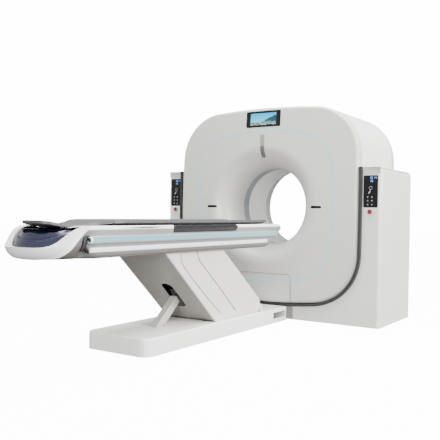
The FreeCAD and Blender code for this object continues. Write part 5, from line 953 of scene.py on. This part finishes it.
# %% Panel marks and keys
panel_middle = 1.0035
pointer_line = [(-0.022, 1.121), (-0.004, 1.148), (0.003, 1.143), (-0.012, 1.116)]
key_left, key_top, key_across, key_down = -0.024, 1.090, 0.036, 0.031
key_places = [(column, row) for row in range(3) for column in range(2)]
for side, word in sides:
    centre = side * panel_middle
    digits(word + "_panel_height", "1014", centre - 0.008, 1.249, 0.020)
    digits(word + "_panel_tilt", "80", centre + 0.002, 1.222, 0.014)
    nothing_selected()
    bpy.ops.mesh.primitive_torus_add(major_radius=0.013, minor_radius=0.0016, major_segments=36, minor_segments=8,
                                     location=(centre, panel_face - 0.0002, 1.165), rotation=facing_foot)
    finished(new_piece(word + "_panel_ring_mark"), icon_print, "stand")
    pointer = plate(word + "_panel_pointer", [(centre + x, panel_face, z) for x, z in pointer_line], (0, -0.0008, 0))
    rounded(pointer, 0.0002, 1)
    finished(pointer, icon_print, "stand")
    nothing_selected()
    bpy.ops.mesh.primitive_cylinder_add(vertices=24, radius=0.0055, depth=0.0016, rotation=facing_foot,
                                        location=(centre + key_left, panel_face - 0.0004, key_top))
    key = new_piece(word + "_panel_key_0")
    sunk_field(key, (0, -1, 0), 0.0014, 0.0005)
    finished(key, icon_print, "stand")
    for number, (column, row) in enumerate(key_places[1:], 1):
        other = key.copy()
        other.data = key.data.copy()
        other.name = other.data.name = f"{word}_panel_key_{number}"
        bpy.context.scene.collection.objects.link(other)
        other.data.transform(Matrix.Translation((key_across * column, 0, -key_down * row)))
        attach(other, "stand")
print("keys on each panel:", len(key_places))

# %% [markdown]
# A grey plate closes the top of each pedestal in front of its cap. Its grey is painted shade, for a
# recessed, sloping front under the cap. The corner beside the control panel carries a slim strip in a
# lighter, glossier white, which is partly a painted highlight, for the corner's bright chamfer. Both
# are thin blocks with rounded edges. The plate's field is sunk inside a low frame, and the strip's is raised.

# %% Pedestal plates and corner strips, with painted shade and a painted highlight
pedestal_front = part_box("right_pedestal_cover")[0].y
for side, word in sides:
    inner, outer = sorted((side * 0.9430, side * 1.0850))
    top_plate = block(word + "_top_plate", (inner, pedestal_front - 0.0022, 1.2830),
                      (outer, pedestal_front + 0.004, 1.3400))
    sunk_field(top_plate, (0, -1, 0), 0.006, 0.0008)
    rounded(top_plate, 0.0007, 2)
    finished(top_plate, cap_and_shaded_plate_enamel, "stand")
    # a raised strip in the table's lighter white: partly a painted highlight, for the corner's bright chamfer
    inner, outer = sorted((side * 1.0900, side * 1.0935))
    corner_strip = block(word + "_corner_highlight_strip", (inner, -0.4200, 0.9500), (outer, -0.3650, 1.2850))
    sunk_field(corner_strip, (side, 0, 0), 0.010, -0.0012)
    rounded(corner_strip, 0.0008, 2)
    finished(corner_strip, table_enamel, "stand")


# %% [markdown]
# A pale floor runs far behind the object, and soft lamps stand round it as in a product studio:
# a large one on the right, one above and one in front. The photograph's background is pure
# white, but a floor and a world that bright would wash the shadows out of the object. So each
# has two strengths, told apart by the kind of ray: the camera sees white, and the object gets a
# weak, even light.

# %% Floor, world and lights
def for_camera_only(tree, seen, lit):
    """A strength that the camera sees as one value and the lighting of the object as another."""
    path = add_node(tree, "ShaderNodeLightPath")
    return add_node(tree, "ShaderNodeMapRange", {"To Min": lit, "To Max": seen}, Value=path.outputs["Is Camera Ray"])


nothing_selected()
bpy.ops.mesh.primitive_plane_add(size=60, location=(0, 0, -0.001))
floor = bpy.context.object
floor.name = "studio_floor"
floor_paint, floor_tree, floor_shader = start_material("studio_floor_paint", Roughness=0.9, Base_Color=colour("585858"),
                                                       Emission_Color=(1, 1, 1, 1))[:3]
glow = for_camera_only(floor_tree, 14.0, 0.0)
feed(floor_shader, Emission_Strength=glow)
floor.data.materials.append(floor_paint)

world = bpy.data.worlds.new("studio_world")
bpy.context.scene.world = world
world.use_nodes = True
backdrop = world.node_tree.nodes["Background"]
backdrop.inputs["Color"].default_value = (1, 1, 1, 1)
glow = for_camera_only(world.node_tree, 15.0, 0.75)
feed(backdrop, Strength=glow)


def area_lamp(name, place, aim, size, power):
    lamp = bpy.data.lights.new(name, "AREA")
    lamp.shape = "RECTANGLE"
    lamp.size, lamp.size_y = size
    lamp.energy = power
    holder = bpy.data.objects.new(name, lamp)
    bpy.context.scene.collection.objects.link(holder)
    holder.location = place
    holder.rotation_euler = (Vector(aim) - Vector(place)).to_track_quat("-Z", "Y").to_euler()


area_lamp("lamp_right", (8.0, 0.2, 3.0), (0, -0.6, 0.7), (5, 4), 1700)
area_lamp("lamp_above", (0.5, -1.0, 6.5), (0, -1.0, 0.5), (6, 6), 1500)
area_lamp("lamp_front", (4.6, -9.5, 2.4), (0, -1.0, 0.8), (5, 3.5), 1050)

# %% [markdown]
# The camera stands where the photographer's did: the lines of the table and the gantry, followed
# back, give its height, its direction and its distance. The focal length comes from the same
# lines in pixels, and the sensor's width turns it into millimetres.

# %% Camera
camera_place = Vector((2.915, -5.636, 0.937))
turn, tip, roll = math.radians(33.148), math.radians(-0.608), math.radians(0.919)
focal_pixels, photo_pixels, sensor_mm = 652.344, 440, 36.0
forward = Vector((-math.sin(turn) * math.cos(tip), math.cos(turn) * math.cos(tip), math.sin(tip)))
level_right = Vector((math.cos(turn), math.sin(turn), 0))
level_up = level_right.cross(forward)
right = math.cos(roll) * level_right + math.sin(roll) * level_up
up = -math.sin(roll) * level_right + math.cos(roll) * level_up
camera_lens = bpy.data.cameras.new("camera")
camera_lens.lens = sensor_mm * focal_pixels / photo_pixels
camera_lens.sensor_width = sensor_mm
camera = bpy.data.objects.new("camera", camera_lens)
bpy.context.scene.collection.objects.link(camera)
camera.matrix_world = Matrix.Translation(camera_place) @ Matrix((right, up, -forward)).transposed().to_4x4()
bpy.context.scene.camera = camera
